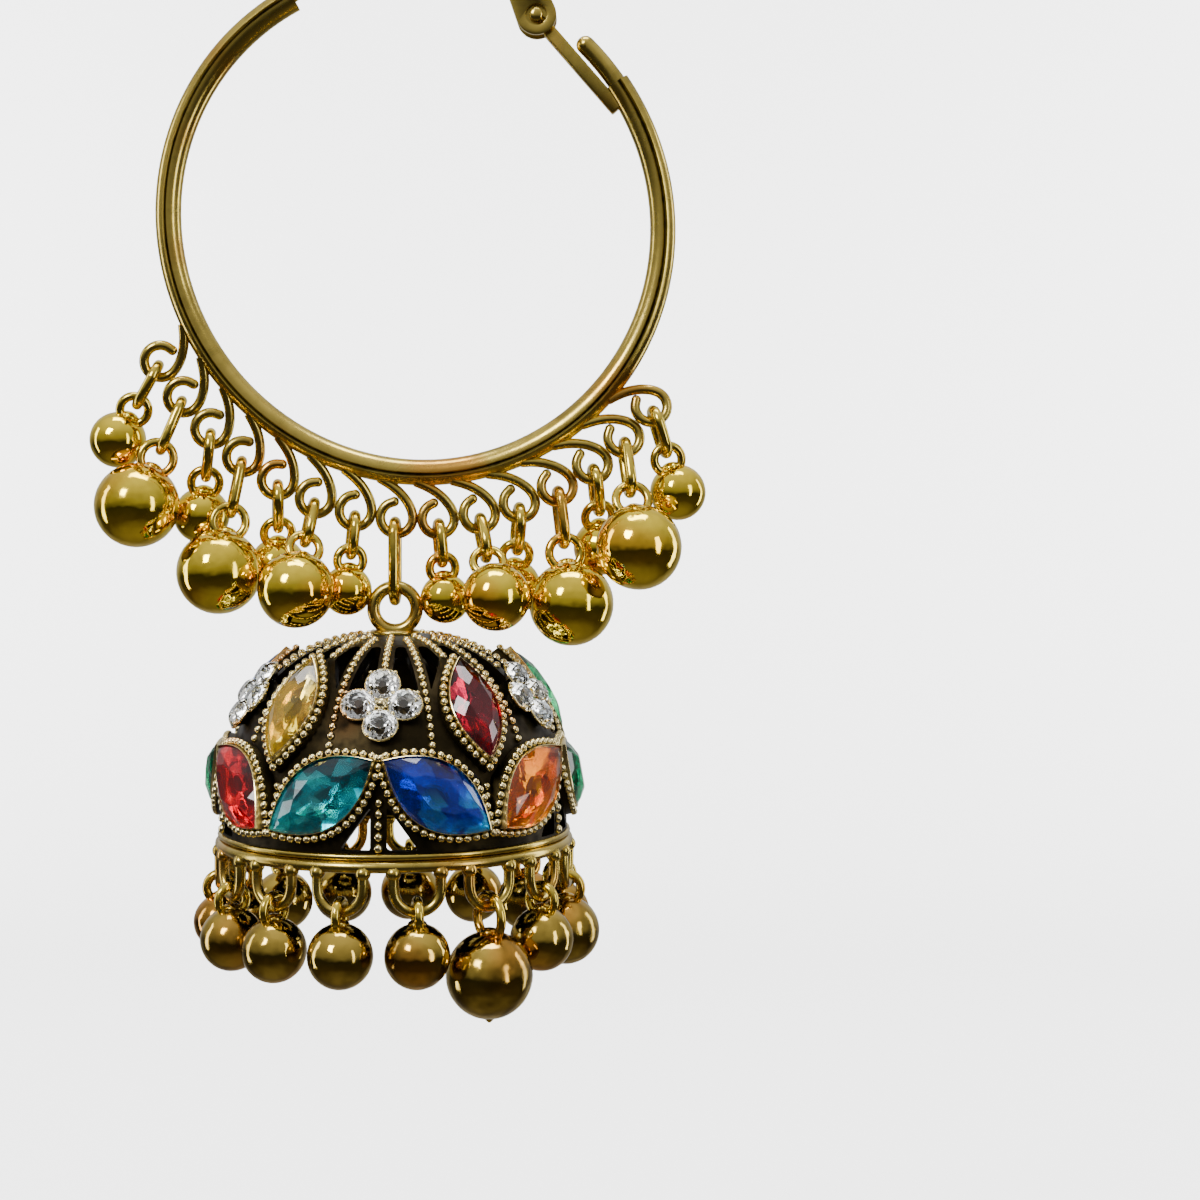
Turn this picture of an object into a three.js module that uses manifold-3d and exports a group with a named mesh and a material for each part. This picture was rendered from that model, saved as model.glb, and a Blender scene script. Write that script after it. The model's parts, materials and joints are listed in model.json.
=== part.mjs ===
// Jhumka earring: an oval hoop with a latch-back clasp, a fringe of ball drops on soldered hooks,
// and a pierced, stone-set dome that hangs from the middle hook and carries a fringe of its own.
// Units are millimetres. +Z is up and the front faces -Y. The origin is where the ear wire hangs.
import * as THREE from "three";
import { mergeVertices } from "three/addons/utils/BufferGeometryUtils.js";
import Module from "manifold-3d";

const wasm = await Module();
wasm.setup();

// Hoop tube: an oval centre line, drawn round from the ear wire's end to the clasp's end
const HOOP_LONG_RADIUS = 23.5;
const HOOP_SHORT_RADIUS = 22.6;
const HOOP_TURN = 123; // degrees from +X to the long radius
const HOOP_START = 118.5; // degrees from +X, where the ear wire leaves
const HOOP_END = 394.5;
const TUBE_RADIUS = 1.2;
const TUBE_SIDES = 8;
const TUBE_STEPS = 20;
const GROOVE_ANGLE = 15; // degrees from the front towards the outside of the hoop
const GROOVE_HALF_ANGLE = 9;
const GROOVE_DEPTH = 0.3;

// Ear wire
const EAR_WIRE_RADIUS = 0.45;
const EAR_WIRE_PULL = 9; // how far the curve keeps the tube's direction
const EAR_WIRE_FALL = 6; // how far above its tip the curve starts to come down
const EAR_WIRE_SIDES = 6;
const EAR_WIRE_STEPS = 8;

// Clasp: a nose and a hinge tab on the tube's end, and a folded lever on the tab's pin
const NOSE_RADIUS = 0.88;
const NOSE_ARC = 11; // degrees of the hoop's line
const NOSE_STEPS = 2;
const PIVOT_X = 11.2; // from the hoop's centre
const PIVOT_Z = 18.9;
const PIN_RADIUS = 0.5;
const PIN_HOLE_RADIUS = 1;
const KNUCKLE_RADIUS = 1;
const TAB_WIDTH = 1.25;
const TAB_THICKNESS = 1.2;
const TAB_OVERRUN = 0.9; // how far the tab runs down along the tube
const TAB_SINK = 0.3;
const LEVER_LEAN = 22; // degrees from +Z, closed
const LEVER_LENGTH = 13;
const LEVER_EYE_RADIUS = 1.85;
const LEVER_TIP_RADIUS = 1.2;
const LEVER_DEPTH = 2.6;
const LEVER_SHEET = 0.45;
const SMALL_ROUND_SIDES = 8; // of the nose, the knuckle and the pin
const LEVER_CURVE_STEPS = 4;
const LEVER_WEB_START = 1.5; // from the pin's centre
const LATCH_REACH = 11; // from the pin's centre to the ear wire's tip
const LATCH_GAP = 0.2;

// Hooks soldered along the tube: a tail from the tube that curls into an open loop
const HOOK_COUNT = 15;
const PENDANT_HOOK = 8;
const HOOK_MIDDLE = 265.6; // degrees from +X of the pendant's hook
const HOOK_PITCH = 8.1;
const HOOK_REACH = 4.3; // from the tube's centre line to the loop's centre
const HOOK_LOOP_RADIUS = 1.5;
const HOOK_WIRE_RADIUS = 0.475;
const HOOK_TAIL_ANGLE = 20; // degrees round the loop, where the tail leaves it
const HOOK_TAIL_RUN = 1.95; // from the loop's centre back along the tube to the tail's root
const HOOK_TAIL_BEND = 2; // how far the tail keeps the loop's direction
const HOOK_SWEEP = 250;
const HOOK_SINK = 0.5;
const HOOK_TURN = 12; // degrees that a loop turns out of the hoop's plane
const HOOK_STEPS = 9;

// Drops: a link, a ball's own loop and the ball, as one piece
const WIRE_SIDES = 5;
const ROUND_SIDES = 10;
const PLAY = 0.12; // between one wire and the next that hangs on it
const SINK = 0.22; // of a link's wire in the next
const LOOP_SINK = 0.7; // of a ball's top above its loop's lowest point
const LINK_WIRE_RADIUS = 0.5;
const LINK_HALF_WIDTH = 1.35;
const LOOP_WIRE_RADIUS = 0.42;
const LOOP_END = 240; // degrees round a ball's loop to where it runs into the ball
const LOOP_STEPS = 6;
const BALL_BANDS = 4;
const BIG_DROP = { linkLength: 6, loopRadius: 1.5, ballRadius: 3.9 };
const MIDDLE_DROP = { linkLength: 5, loopRadius: 1.4, ballRadius: 3.5 };
const SMALL_DROP = { linkLength: 5.2, loopRadius: 1.3, ballRadius: 2.6 };
const SHORT_DROP = { linkLength: 4.7, loopRadius: 1.2, ballRadius: 2.3 };

// Lean is in degrees to the right, and back is in degrees to the rear, of a drop from plumb.
const HOOP_DROPS = [
  { hook: 1, size: SMALL_DROP, lean: -30, back: 8 },
  { hook: 2, size: BIG_DROP, lean: -22, back: -8 },
  { hook: 3, size: SMALL_DROP, lean: -9, back: 16 },
  { hook: 4, size: BIG_DROP, lean: -10, back: -10 },
  { hook: 5, size: SMALL_DROP, lean: -3, back: 20 },
  { hook: 6, size: MIDDLE_DROP, lean: -8, back: -28 },
  { hook: 7, size: SHORT_DROP, lean: -6, back: 0 },
  { hook: 9, size: SHORT_DROP, lean: 5, back: 0 },
  { hook: 10, size: MIDDLE_DROP, lean: 12, back: -31 },
  { hook: 11, size: SMALL_DROP, lean: -6, back: 22 },
  { hook: 12, size: BIG_DROP, lean: 7, back: -6 },
  { hook: 13, size: SMALL_DROP, lean: 5, back: 24 },
  { hook: 14, size: BIG_DROP, lean: 8, back: -24 },
  { hook: 15, size: SMALL_DROP, lean: 17, back: 8 },
];

// Pendant link and the dome's bail
const PENDANT_LINK_LENGTH = 8.3;
const PENDANT_LINK_WIRE_RADIUS = 0.52;
const BAIL_RADIUS = 2;
const BAIL_WIRE_RADIUS = 0.6;
const BAIL_SINK = 0.35;

// Dome: a shell with a superellipse for its profile, open below
const DOME_RADIUS = 15.9;
const DOME_HEIGHT = 19;
const DOME_POWER = 2.45;
const DOME_WALL = 1.25;
const DOME_SIDES = 20;
const DOME_LEVELS = [0.42, 0.65, 0.79, 0.96]; // shares of the height
const HOLLOW_SIDES = 10;
const HOLLOW_LEVELS = [0, 0.55, 0.88];
const SECTORS = 5;
const SECTOR = 360 / SECTORS;
const RIM_WIRE_RADIUS = 0.53;
const CUT_REACH = 2.5; // of a piercing's cutter to each side of the dome's surface

// Marquise stones in raised settings. Azimuth is in degrees from the front, and height is a share
// of the dome's. Turn is the long axis's angle from level.
const LOWER_STONE = { length: 11, width: 5.7, azimuth: 18, height: 0.315, turn: -34 };
const UPPER_STONE = { length: 9.8, width: 4.7, azimuth: 36, height: 0.675, turn: 90 };
const SETTING_BORDER = 0.75;
const SETTING_POINT = 1.3; // how many times the border it is at a stone's points
const SETTING_RISE = 0.3; // above the dome's surface at the stone's middle
const SETTING_ROOT = 1.1; // below it
const STONE_PLAY = 0.12;
const STONE_CROWN = 1.1;
const STONE_BACK = 0.25; // from the girdle down to the back's point
const STONE_TABLE = 0.5; // share of the outline
const STONE_SIDES = 8;

// Clusters of four round stones
const CLUSTER_HEIGHT = 0.705; // share of the dome's height
const CLUSTER_STONE_RADIUS = 1.5;
const CLUSTER_STONE_OVERLAP = 0.15; // of one stone's girdle with the next
const CLUSTER_STONE_BACK = 0.45; // from the girdle down to the back's point
const CLUSTER_STONE_RISE = 0.75; // from the girdle up to the table
const CLUSTER_SIDES = 8;

// Piercings on the right of a sector's middle, each mirrored to the left. A corner is an azimuth
// in degrees and a share of the dome's height.
const PIERCINGS = [
  [[3.4, 0.86], [15.2, 0.8], [12, 0.955], [6.4, 0.955]],
  [[21, 0.79], [31.5, 0.915], [28.5, 0.955], [22.5, 0.955]],
  [[2, 0.06], [14.5, 0.06], [2, 0.31]],
  [[34.6, 0.2], [34.6, 0.36], [29.5, 0.44]],
];

// Scalloped loops under the rim, and the drops on them
const SCALLOP_COUNT = 15;
const SCALLOP_PITCH = 360 / SCALLOP_COUNT;
const SCALLOP_HALF_WIDTH = 2.05;
const SCALLOP_FALL = 3.9; // from the rim's plane to the wire's centre at the bottom
const SCALLOP_WIRE_RADIUS = 0.43;
const SCALLOP_STEPS = 6;
const RIM_DROP = { loopRadius: 1.3, ballRadius: 2.85 };
const RIM_DROP_SIZES = [
  { scallop: 2, size: { loopRadius: 1.9, ballRadius: 3.8 } },
  { scallop: 4, size: { loopRadius: 1.4, ballRadius: 3.1 } },
  { scallop: 12, size: { loopRadius: 1.3, ballRadius: 2.5 } },
];

// Colours, roughness and metalness
const GOLD = new THREE.MeshStandardMaterial({ color: 0xb8902e, roughness: 0.32, metalness: 1 });
const BRIGHT_GOLD = new THREE.MeshStandardMaterial({ color: 0xc9a032, roughness: 0.18, metalness: 1 });
const CLEAR = new THREE.MeshStandardMaterial({ color: 0xe8edf2, roughness: 0.05, metalness: 0 });
const LOWER_COLOURS = [
  0x0b7fa8, 0x1240b0, 0xd86a0c, 0x0a7a4a, 0x8a1230,
  0x1240b0, 0x0b7fa8, 0xd8b040, 0x0a7a4a, 0xb01226,
];
const UPPER_COLOURS = [0xa8122c, 0x1a8a55, 0xd86a0c, 0x2450b8, 0xd8c468];

const radians = THREE.MathUtils.degToRad;

// A geometry as a solid, once its shared vertices are merged.
function solid(geometry) {
  const bare = geometry.clone();
  bare.deleteAttribute("normal");
  bare.deleteAttribute("uv");
  const merged = mergeVertices(bare, 1e-4);
  const vertProperties = new Float32Array(merged.attributes.position.array);
  const triVerts = new Uint32Array(merged.index.array);
  return new wasm.Manifold(new wasm.Mesh({ numProp: 3, vertProperties, triVerts }));
}

function fuse(geometries) {
  return geometries.map(solid).reduce((whole, next) => whole.add(next));
}

function meshOf(name, made, material) {
  const { vertProperties, triVerts } = made.getMesh();
  const geometry = new THREE.BufferGeometry();
  geometry.setAttribute("position", new THREE.BufferAttribute(vertProperties, 3));
  geometry.setIndex(new THREE.BufferAttribute(triVerts, 1));
  const mesh = new THREE.Mesh(geometry, material);
  mesh.name = name;
  return mesh;
}

// A flat curve stood up in the XZ plane.
class UprightCurve extends THREE.Curve {
  constructor(flat) {
    super();
    this.flat = flat;
  }

  getPoint(t) {
    const point = this.flat.getPoint(t);
    return new THREE.Vector3(point.x, 0, point.y);
  }
}

function roundSection(radius, sides) {
  const corners = Array.from({ length: sides }, (_, i) => {
    const angle = (i * 2 * Math.PI) / sides;
    return new THREE.Vector2(radius * Math.cos(angle), radius * Math.sin(angle));
  });
  return new THREE.Shape(corners);
}

function wire(curve, radius, sides, steps) {
  const section = roundSection(radius, sides);
  return new THREE.ExtrudeGeometry(section, { steps, extrudePath: curve, bevelEnabled: false });
}

// A closed wire ring standing in the XZ plane. Stretch moves its two halves apart along Z.
function wireRing(radius, wireRadius, stretch = 0) {
  const ring = new THREE.TorusGeometry(radius, wireRadius, WIRE_SIDES, ROUND_SIDES);
  ring.rotateZ(Math.PI / ROUND_SIDES).rotateX(Math.PI / 2);
  const places = ring.attributes.position;
  for (let i = 0; i < places.count; i++) {
    places.setZ(i, places.getZ(i) + (Math.sign(places.getZ(i) - 1e-6) * stretch) / 2);
  }
  return ring;
}

// Hoop

function hoopArc(start, end) {
  const from = radians(start - HOOP_TURN);
  const to = radians(end - HOOP_TURN);
  const turn = radians(HOOP_TURN);
  const oval = new THREE.EllipseCurve(0, 0, HOOP_LONG_RADIUS, HOOP_SHORT_RADIUS, from, to, false, turn);
  return new UprightCurve(oval);
}

// The tube's centre line at an angle, with the direction out of the hoop there.
function hoopPlace(angle) {
  const line = hoopArc(angle, angle + 1);
  const along = line.getTangent(0);
  return { point: line.getPoint(0), along, outward: new THREE.Vector3(-along.z, 0, along.x).negate() };
}

// The tube's section: X is towards the front and Y is out of the hoop.
function tubeSection() {
  const corner = (radius, degrees) =>
    new THREE.Vector2(radius * Math.cos(radians(degrees)), radius * Math.sin(radians(degrees)));
  const groove = [
    corner(TUBE_RADIUS, GROOVE_ANGLE - GROOVE_HALF_ANGLE),
    corner(TUBE_RADIUS - GROOVE_DEPTH, GROOVE_ANGLE),
    corner(TUBE_RADIUS, GROOVE_ANGLE + GROOVE_HALF_ANGLE),
  ];
  const pitch = 360 / TUBE_SIDES;
  const turns = Array.from({ length: TUBE_SIDES - 1 }, (_, i) => GROOVE_ANGLE + (i + 1) * pitch);
  return new THREE.Shape([...groove, ...turns.map((turn) => corner(TUBE_RADIUS, turn))]);
}

function hoopTube() {
  const extrudePath = hoopArc(HOOP_START, HOOP_END);
  return new THREE.ExtrudeGeometry(tubeSection(), { steps: TUBE_STEPS, extrudePath, bevelEnabled: false });
}

const pivot = new THREE.Vector3(PIVOT_X, 0, PIVOT_Z);
const leverUp = new THREE.Vector3(-Math.sin(radians(LEVER_LEAN)), 0, Math.cos(radians(LEVER_LEAN)));
const leverOut = new THREE.Vector3(leverUp.z, 0, -leverUp.x);

// How far the lever's web stands outside the line from pin to tip, at a distance along it.
function leverHalfWidth(distance) {
  return THREE.MathUtils.lerp(LEVER_EYE_RADIUS, LEVER_TIP_RADIUS, distance / LEVER_LENGTH);
}

function earWireCurve() {
  const { point, along } = hoopPlace(HOOP_START);
  const start = point.clone().addScaledVector(along, 2 * TUBE_RADIUS);
  const aside = leverHalfWidth(LATCH_REACH) - LEVER_SHEET - LATCH_GAP - EAR_WIRE_RADIUS;
  const tip = pivot.clone().addScaledVector(leverUp, LATCH_REACH).addScaledVector(leverOut, aside);
  const leave = point.clone().addScaledVector(along, -EAR_WIRE_PULL);
  const arrive = tip.clone().add(new THREE.Vector3(-EAR_WIRE_FALL / 2, 0, EAR_WIRE_FALL));
  return new THREE.CubicBezierCurve3(start, leave, arrive, tip);
}

const earWire = earWireCurve();
const hangPoint = earWire.getPoints(200).reduce((high, point) => (point.z > high.z ? point : high));

function nose() {
  const line = hoopArc(HOOP_END - TUBE_RADIUS, HOOP_END + NOSE_ARC);
  const tip = new THREE.SphereGeometry(NOSE_RADIUS, SMALL_ROUND_SIDES, BALL_BANDS);
  tip.translate(...line.getPoint(1));
  return [wire(line, NOSE_RADIUS, SMALL_ROUND_SIDES, NOSE_STEPS), tip];
}

// The tab runs from the pin to the inner side of the tube, just below the tube's end.
function hingeTab() {
  const { point, along, outward } = hoopPlace(HOOP_END);
  const root = point
    .clone()
    .addScaledVector(along, -TAB_OVERRUN)
    .addScaledVector(outward, TAB_SINK - TUBE_RADIUS - TAB_WIDTH / 2);
  const reach = root.clone().sub(pivot);
  const bar = new THREE.BoxGeometry(reach.length() + TAB_WIDTH, TAB_THICKNESS, TAB_WIDTH);
  bar.translate((reach.length() + TAB_WIDTH) / 2, 0, 0);
  bar.rotateY(-Math.atan2(reach.z, reach.x));
  const round = (radius, length) => new THREE.CylinderGeometry(radius, radius, length, SMALL_ROUND_SIDES);
  const knuckle = round(KNUCKLE_RADIUS, TAB_THICKNESS);
  const pin = round(PIN_RADIUS, LEVER_DEPTH);
  return [bar, knuckle, pin].map((piece) => piece.translate(...pivot));
}

function hookCurve() {
  const start = radians(HOOK_TAIL_ANGLE);
  const joint = new THREE.Vector2(Math.cos(start), Math.sin(start)).multiplyScalar(HOOK_LOOP_RADIUS);
  const tailwards = new THREE.Vector2(-Math.sin(start), Math.cos(start));
  const bend = joint.clone().addScaledVector(tailwards, HOOK_TAIL_BEND);
  const path = new THREE.Path();
  path.moveTo(-HOOK_TAIL_RUN, HOOK_REACH - TUBE_RADIUS + HOOK_SINK);
  path.quadraticCurveTo(bend.x, bend.y, joint.x, joint.y);
  path.absarc(0, 0, HOOK_LOOP_RADIUS, start, start - radians(HOOK_SWEEP), true);
  return new UprightCurve(path);
}

// A loop's own frame on the hoop: Z points back to the tube, and X along it.
function hookFrame(hook) {
  const { point, outward } = hoopPlace(HOOK_MIDDLE + (hook - PENDANT_HOOK) * HOOK_PITCH);
  const inward = outward.clone().negate();
  const turn = hook === PENDANT_HOOK ? 0 : HOOK_TURN;
  const level = new THREE.Vector3(inward.z, 0, -inward.x);
  const across = level.applyAxisAngle(inward, radians(turn));
  const through = inward.clone().cross(across);
  const frame = new THREE.Matrix4().makeBasis(across, through, inward);
  return frame.setPosition(point.clone().addScaledVector(outward, HOOK_REACH));
}

const hooks = Array.from({ length: HOOK_COUNT }, (_, i) => i + 1);

function hoopFrame() {
  const curve = hookCurve();
  const loops = hooks.map((hook) =>
    wire(curve, HOOK_WIRE_RADIUS, WIRE_SIDES, HOOK_STEPS).applyMatrix4(hookFrame(hook)),
  );
  const ear = wire(earWire, EAR_WIRE_RADIUS, EAR_WIRE_SIDES, EAR_WIRE_STEPS);
  return fuse([hoopTube(), ear, ...nose(), ...hingeTab(), ...loops]);
}

// Lever: two cheeks with a web between them on the outer side. Its own X is out of the hoop.
function leverCheek() {
  const outline = new THREE.Shape();
  const slope = Math.asin((LEVER_EYE_RADIUS - LEVER_TIP_RADIUS) / LEVER_LENGTH);
  const tip = LEVER_LENGTH - LEVER_TIP_RADIUS;
  outline.absarc(0, 0, LEVER_EYE_RADIUS, Math.PI - slope, slope, false);
  outline.absarc(0, tip, LEVER_TIP_RADIUS, slope, Math.PI - slope, false);
  outline.holes.push(new THREE.Path().absarc(0, 0, PIN_HOLE_RADIUS, 0, 2 * Math.PI, true));
  const options = { depth: LEVER_SHEET, bevelEnabled: false, curveSegments: LEVER_CURVE_STEPS };
  return new THREE.ExtrudeGeometry(outline, options).rotateX(Math.PI / 2);
}

function lever() {
  const front = leverCheek().translate(0, LEVER_SHEET - LEVER_DEPTH / 2, 0);
  const rear = leverCheek().translate(0, LEVER_DEPTH / 2, 0);
  const webLength = LEVER_LENGTH - LEVER_TIP_RADIUS - LEVER_WEB_START;
  const lean = Math.atan((LEVER_EYE_RADIUS - LEVER_TIP_RADIUS) / LEVER_LENGTH);
  const web = new THREE.BoxGeometry(LEVER_SHEET, LEVER_DEPTH, webLength);
  web.rotateY(-lean);
  const middle = LEVER_WEB_START + webLength / 2;
  web.translate(leverHalfWidth(middle) - LEVER_SHEET / 2, 0, middle);
  return fuse([front, rear, web]);
}

// Drops hang from the centre of the wire that holds them, which is their own origin.
function ballOnLoop(holder, size) {
  const middle = holder.z - size.loopRadius;
  const end = radians(LOOP_END);
  const arch = new THREE.Path().absarc(0, 0, size.loopRadius, Math.PI - end, end, false);
  const loop = wire(new UprightCurve(arch), LOOP_WIRE_RADIUS, WIRE_SIDES, LOOP_STEPS);
  if (holder.crosswise) loop.rotateZ(Math.PI / 2);
  const ball = new THREE.SphereGeometry(size.ballRadius, ROUND_SIDES, BALL_BANDS);
  ball.translate(0, 0, -size.loopRadius - size.ballRadius + LOOP_SINK);
  return [loop, ball].map((piece) => piece.translate(0, 0, middle));
}

function linkedDrop(size) {
  const top = HOOK_WIRE_RADIUS + LINK_WIRE_RADIUS + PLAY;
  const stretch = size.linkLength - 2 * LINK_HALF_WIDTH - 2 * LINK_WIRE_RADIUS;
  const bottom = top - stretch - 2 * LINK_HALF_WIDTH;
  const link = wireRing(LINK_HALF_WIDTH, LINK_WIRE_RADIUS, stretch).rotateZ(Math.PI / 2);
  link.translate(0, 0, (top + bottom) / 2);
  const loopTop = bottom + LINK_WIRE_RADIUS + LOOP_WIRE_RADIUS - SINK;
  return fuse([link, ...ballOnLoop({ z: loopTop, crosswise: false }, size)]);
}

// Where a drop touches its hook, and how it is turned, from the way it leans.
function dropPlace({ hook, lean, back }) {
  const frame = hookFrame(hook);
  const [across, through, inward] = [0, 1, 2].map((i) => new THREE.Vector3().setFromMatrixColumn(frame, i));
  const down = new THREE.Vector3(Math.tan(radians(lean)), Math.tan(radians(back)), -1).normalize();
  const inLoop = down.clone().addScaledVector(through, -down.dot(through)).normalize();
  const middle = new THREE.Vector3().setFromMatrixPosition(frame);
  const contact = middle.addScaledVector(inLoop, HOOK_LOOP_RADIUS);
  const alongWire = inLoop.clone().cross(through);
  const up = down.clone().negate();
  const side = alongWire.addScaledVector(up, -alongWire.dot(up)).normalize();
  return new THREE.Matrix4().makeBasis(side, up.clone().cross(side), up).setPosition(contact);
}

// Dome

function domeRadiusAt(height) {
  return DOME_RADIUS * (1 - (height / DOME_HEIGHT) ** DOME_POWER) ** (1 / DOME_POWER);
}

function domePoint(azimuth, height) {
  const radius = domeRadiusAt(height);
  const turn = radians(azimuth);
  return new THREE.Vector3(radius * Math.sin(turn), -radius * Math.cos(turn), height);
}

// The dome's surface frame: X runs level to the right, Y up the dome and Z straight out of it.
function domeFrame(azimuth, height) {
  const point = domePoint(azimuth, height);
  const outward = domeRadiusAt(height) ** (DOME_POWER - 1) / DOME_RADIUS ** DOME_POWER;
  const upward = height ** (DOME_POWER - 1) / DOME_HEIGHT ** DOME_POWER;
  const normal = new THREE.Vector3(
    outward * Math.sin(radians(azimuth)),
    -outward * Math.cos(radians(azimuth)),
    upward,
  ).normalize();
  const level = new THREE.Vector3(Math.cos(radians(azimuth)), Math.sin(radians(azimuth)), 0);
  return new THREE.Matrix4().makeBasis(level, normal.clone().cross(level), normal).setPosition(point);
}

function lathe(profile, sides, start = 0) {
  const points = profile.map(([radius, height]) => new THREE.Vector2(radius, height));
  return new THREE.LatheGeometry(points, sides, start).rotateX(Math.PI / 2);
}

// The shell's lower edge is rolled into the rim wire.
function domeShell() {
  const rim = [-90, -30, 30].map((degrees) => [
    DOME_RADIUS + RIM_WIRE_RADIUS * Math.cos(radians(degrees)),
    RIM_WIRE_RADIUS * Math.sin(radians(degrees)),
  ]);
  const outer = DOME_LEVELS.map((level) => [domeRadiusAt(level * DOME_HEIGHT), level * DOME_HEIGHT]);
  const foot = [DOME_RADIUS, RIM_WIRE_RADIUS];
  const profile = [[0, 0], [DOME_RADIUS - RIM_WIRE_RADIUS, 0], ...rim, foot, ...outer, [0, DOME_HEIGHT]];
  const hollow = HOLLOW_LEVELS.map((level) => [
    (domeRadiusAt(level * DOME_HEIGHT) * (DOME_RADIUS - DOME_WALL)) / DOME_RADIUS,
    level * (DOME_HEIGHT - DOME_WALL),
  ]);
  const mouth = [hollow[0][0], -DOME_WALL];
  const inside = lathe([[0, -DOME_WALL], mouth, ...hollow, [0, DOME_HEIGHT - DOME_WALL]], HOLLOW_SIDES);
  return solid(lathe(profile, DOME_SIDES)).subtract(solid(inside));
}

// A turned form whose round outline is drawn out to a marquise along X.
function marquise(profile, length, width) {
  const form = lathe(profile, STONE_SIDES, Math.PI / 2);
  const places = form.attributes.position;
  for (let i = 0; i < places.count; i++) {
    const [x, y] = [places.getX(i), places.getY(i)];
    const radius = Math.hypot(x, y);
    const pinch = radius > 0 ? Math.abs(y) / radius : 0;
    places.setXY(i, (x * length) / 2, (y * pinch * width) / 2);
  }
  return form;
}

function stoneFrame(stone, azimuth) {
  const turn = azimuth < 0 || azimuth % SECTOR > SECTOR / 2 ? -stone.turn : stone.turn;
  return domeFrame(azimuth, stone.height * DOME_HEIGHT).multiply(
    new THREE.Matrix4().makeRotationZ(radians(turn)),
  );
}

function settingBlock(stone) {
  const profile = [[0, -SETTING_ROOT], [1, -SETTING_ROOT], [1, SETTING_RISE], [0, SETTING_RISE]];
  const length = stone.length + 2 * SETTING_POINT * SETTING_BORDER;
  return marquise(profile, length, stone.width + 2 * SETTING_BORDER);
}

function cutStone(stone) {
  const profile = [[0, -STONE_BACK], [1, 0], [STONE_TABLE, STONE_CROWN], [0, STONE_CROWN]];
  const girdle = SETTING_RISE + STONE_PLAY + STONE_BACK;
  return solid(marquise(profile, stone.length, stone.width).translate(0, 0, girdle));
}

const sectors = Array.from({ length: SECTORS }, (_, i) => i * SECTOR);
const lowerAzimuths = sectors.flatMap((middle) =>
  [-LOWER_STONE.azimuth, LOWER_STONE.azimuth].map((aside) => middle + aside),
);
const upperAzimuths = sectors.map((middle) => middle + UPPER_STONE.azimuth);
const settings = [
  ...lowerAzimuths.map((azimuth) => ({ stone: LOWER_STONE, azimuth })),
  ...upperAzimuths.map((azimuth) => ({ stone: UPPER_STONE, azimuth })),
];

function piercing(corners) {
  const points = corners.map(([azimuth, share]) => domePoint(azimuth, share * DOME_HEIGHT));
  const mean = (column) => corners.reduce((sum, corner) => sum + corner[column], 0) / corners.length;
  const frame = domeFrame(mean(0), mean(1) * DOME_HEIGHT);
  const outline = points.map((point) => point.clone().applyMatrix4(frame.clone().invert()));
  const shape = new THREE.Shape(outline.map((point) => new THREE.Vector2(point.x, point.y)));
  const cutter = new THREE.ExtrudeGeometry(shape, { depth: 2 * CUT_REACH, bevelEnabled: false });
  return cutter.translate(0, 0, -CUT_REACH).applyMatrix4(frame);
}

function piercings() {
  const sides = [1, -1];
  return sectors.flatMap((middle) =>
    PIERCINGS.flatMap((corners) =>
      sides.map((side) => piercing(corners.map(([azimuth, share]) => [middle + side * azimuth, share]))),
    ),
  );
}

function scallopCurve() {
  const path = new THREE.Path();
  const bend = SCALLOP_HALF_WIDTH - SCALLOP_FALL;
  path.moveTo(-SCALLOP_HALF_WIDTH, 0);
  path.lineTo(-SCALLOP_HALF_WIDTH, bend);
  path.absarc(0, bend, SCALLOP_HALF_WIDTH, Math.PI, 2 * Math.PI, false);
  path.lineTo(SCALLOP_HALF_WIDTH, 0);
  return new UprightCurve(path);
}

function rimFrame(azimuth) {
  const frame = new THREE.Matrix4().makeRotationZ(radians(azimuth));
  return frame.multiply(new THREE.Matrix4().makeTranslation(0, -DOME_RADIUS, 0));
}

const scallopAzimuths = Array.from({ length: SCALLOP_COUNT }, (_, i) => (i + 0.5) * SCALLOP_PITCH);

function bail() {
  const ring = new THREE.TorusGeometry(BAIL_RADIUS, BAIL_WIRE_RADIUS, WIRE_SIDES, ROUND_SIDES);
  ring.rotateX(Math.PI / 2);
  return ring.translate(0, 0, DOME_HEIGHT - BAIL_SINK + BAIL_WIRE_RADIUS + BAIL_RADIUS);
}

function dome() {
  const pierced = piercings().reduce((shell, cutter) => shell.subtract(solid(cutter)), domeShell());
  const scallop = scallopCurve();
  const scallops = scallopAzimuths.map((azimuth) =>
    wire(scallop, SCALLOP_WIRE_RADIUS, WIRE_SIDES, SCALLOP_STEPS).applyMatrix4(rimFrame(azimuth)),
  );
  const blocks = settings.map(({ stone, azimuth }) =>
    settingBlock(stone).applyMatrix4(stoneFrame(stone, azimuth)),
  );
  return pierced.add(fuse([bail(), ...scallops, ...blocks]));
}

function cluster() {
  const girdle = STONE_PLAY + CLUSTER_STONE_BACK;
  const profile = [
    [0, STONE_PLAY],
    [CLUSTER_STONE_RADIUS, girdle],
    [CLUSTER_STONE_RADIUS * STONE_TABLE, girdle + CLUSTER_STONE_RISE],
    [0, girdle + CLUSTER_STONE_RISE],
  ];
  const spread = (CLUSTER_STONE_RADIUS - CLUSTER_STONE_OVERLAP / 2) * Math.SQRT2;
  const stones = [0, 90, 180, 270].map((around) =>
    lathe(profile, CLUSTER_SIDES).translate(spread, 0, 0).rotateZ(radians(around)),
  );
  return fuse(stones);
}

function rimDrop(size) {
  const top = SCALLOP_WIRE_RADIUS + LOOP_WIRE_RADIUS + PLAY;
  return fuse(ballOnLoop({ z: top, crosswise: true }, size));
}

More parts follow.
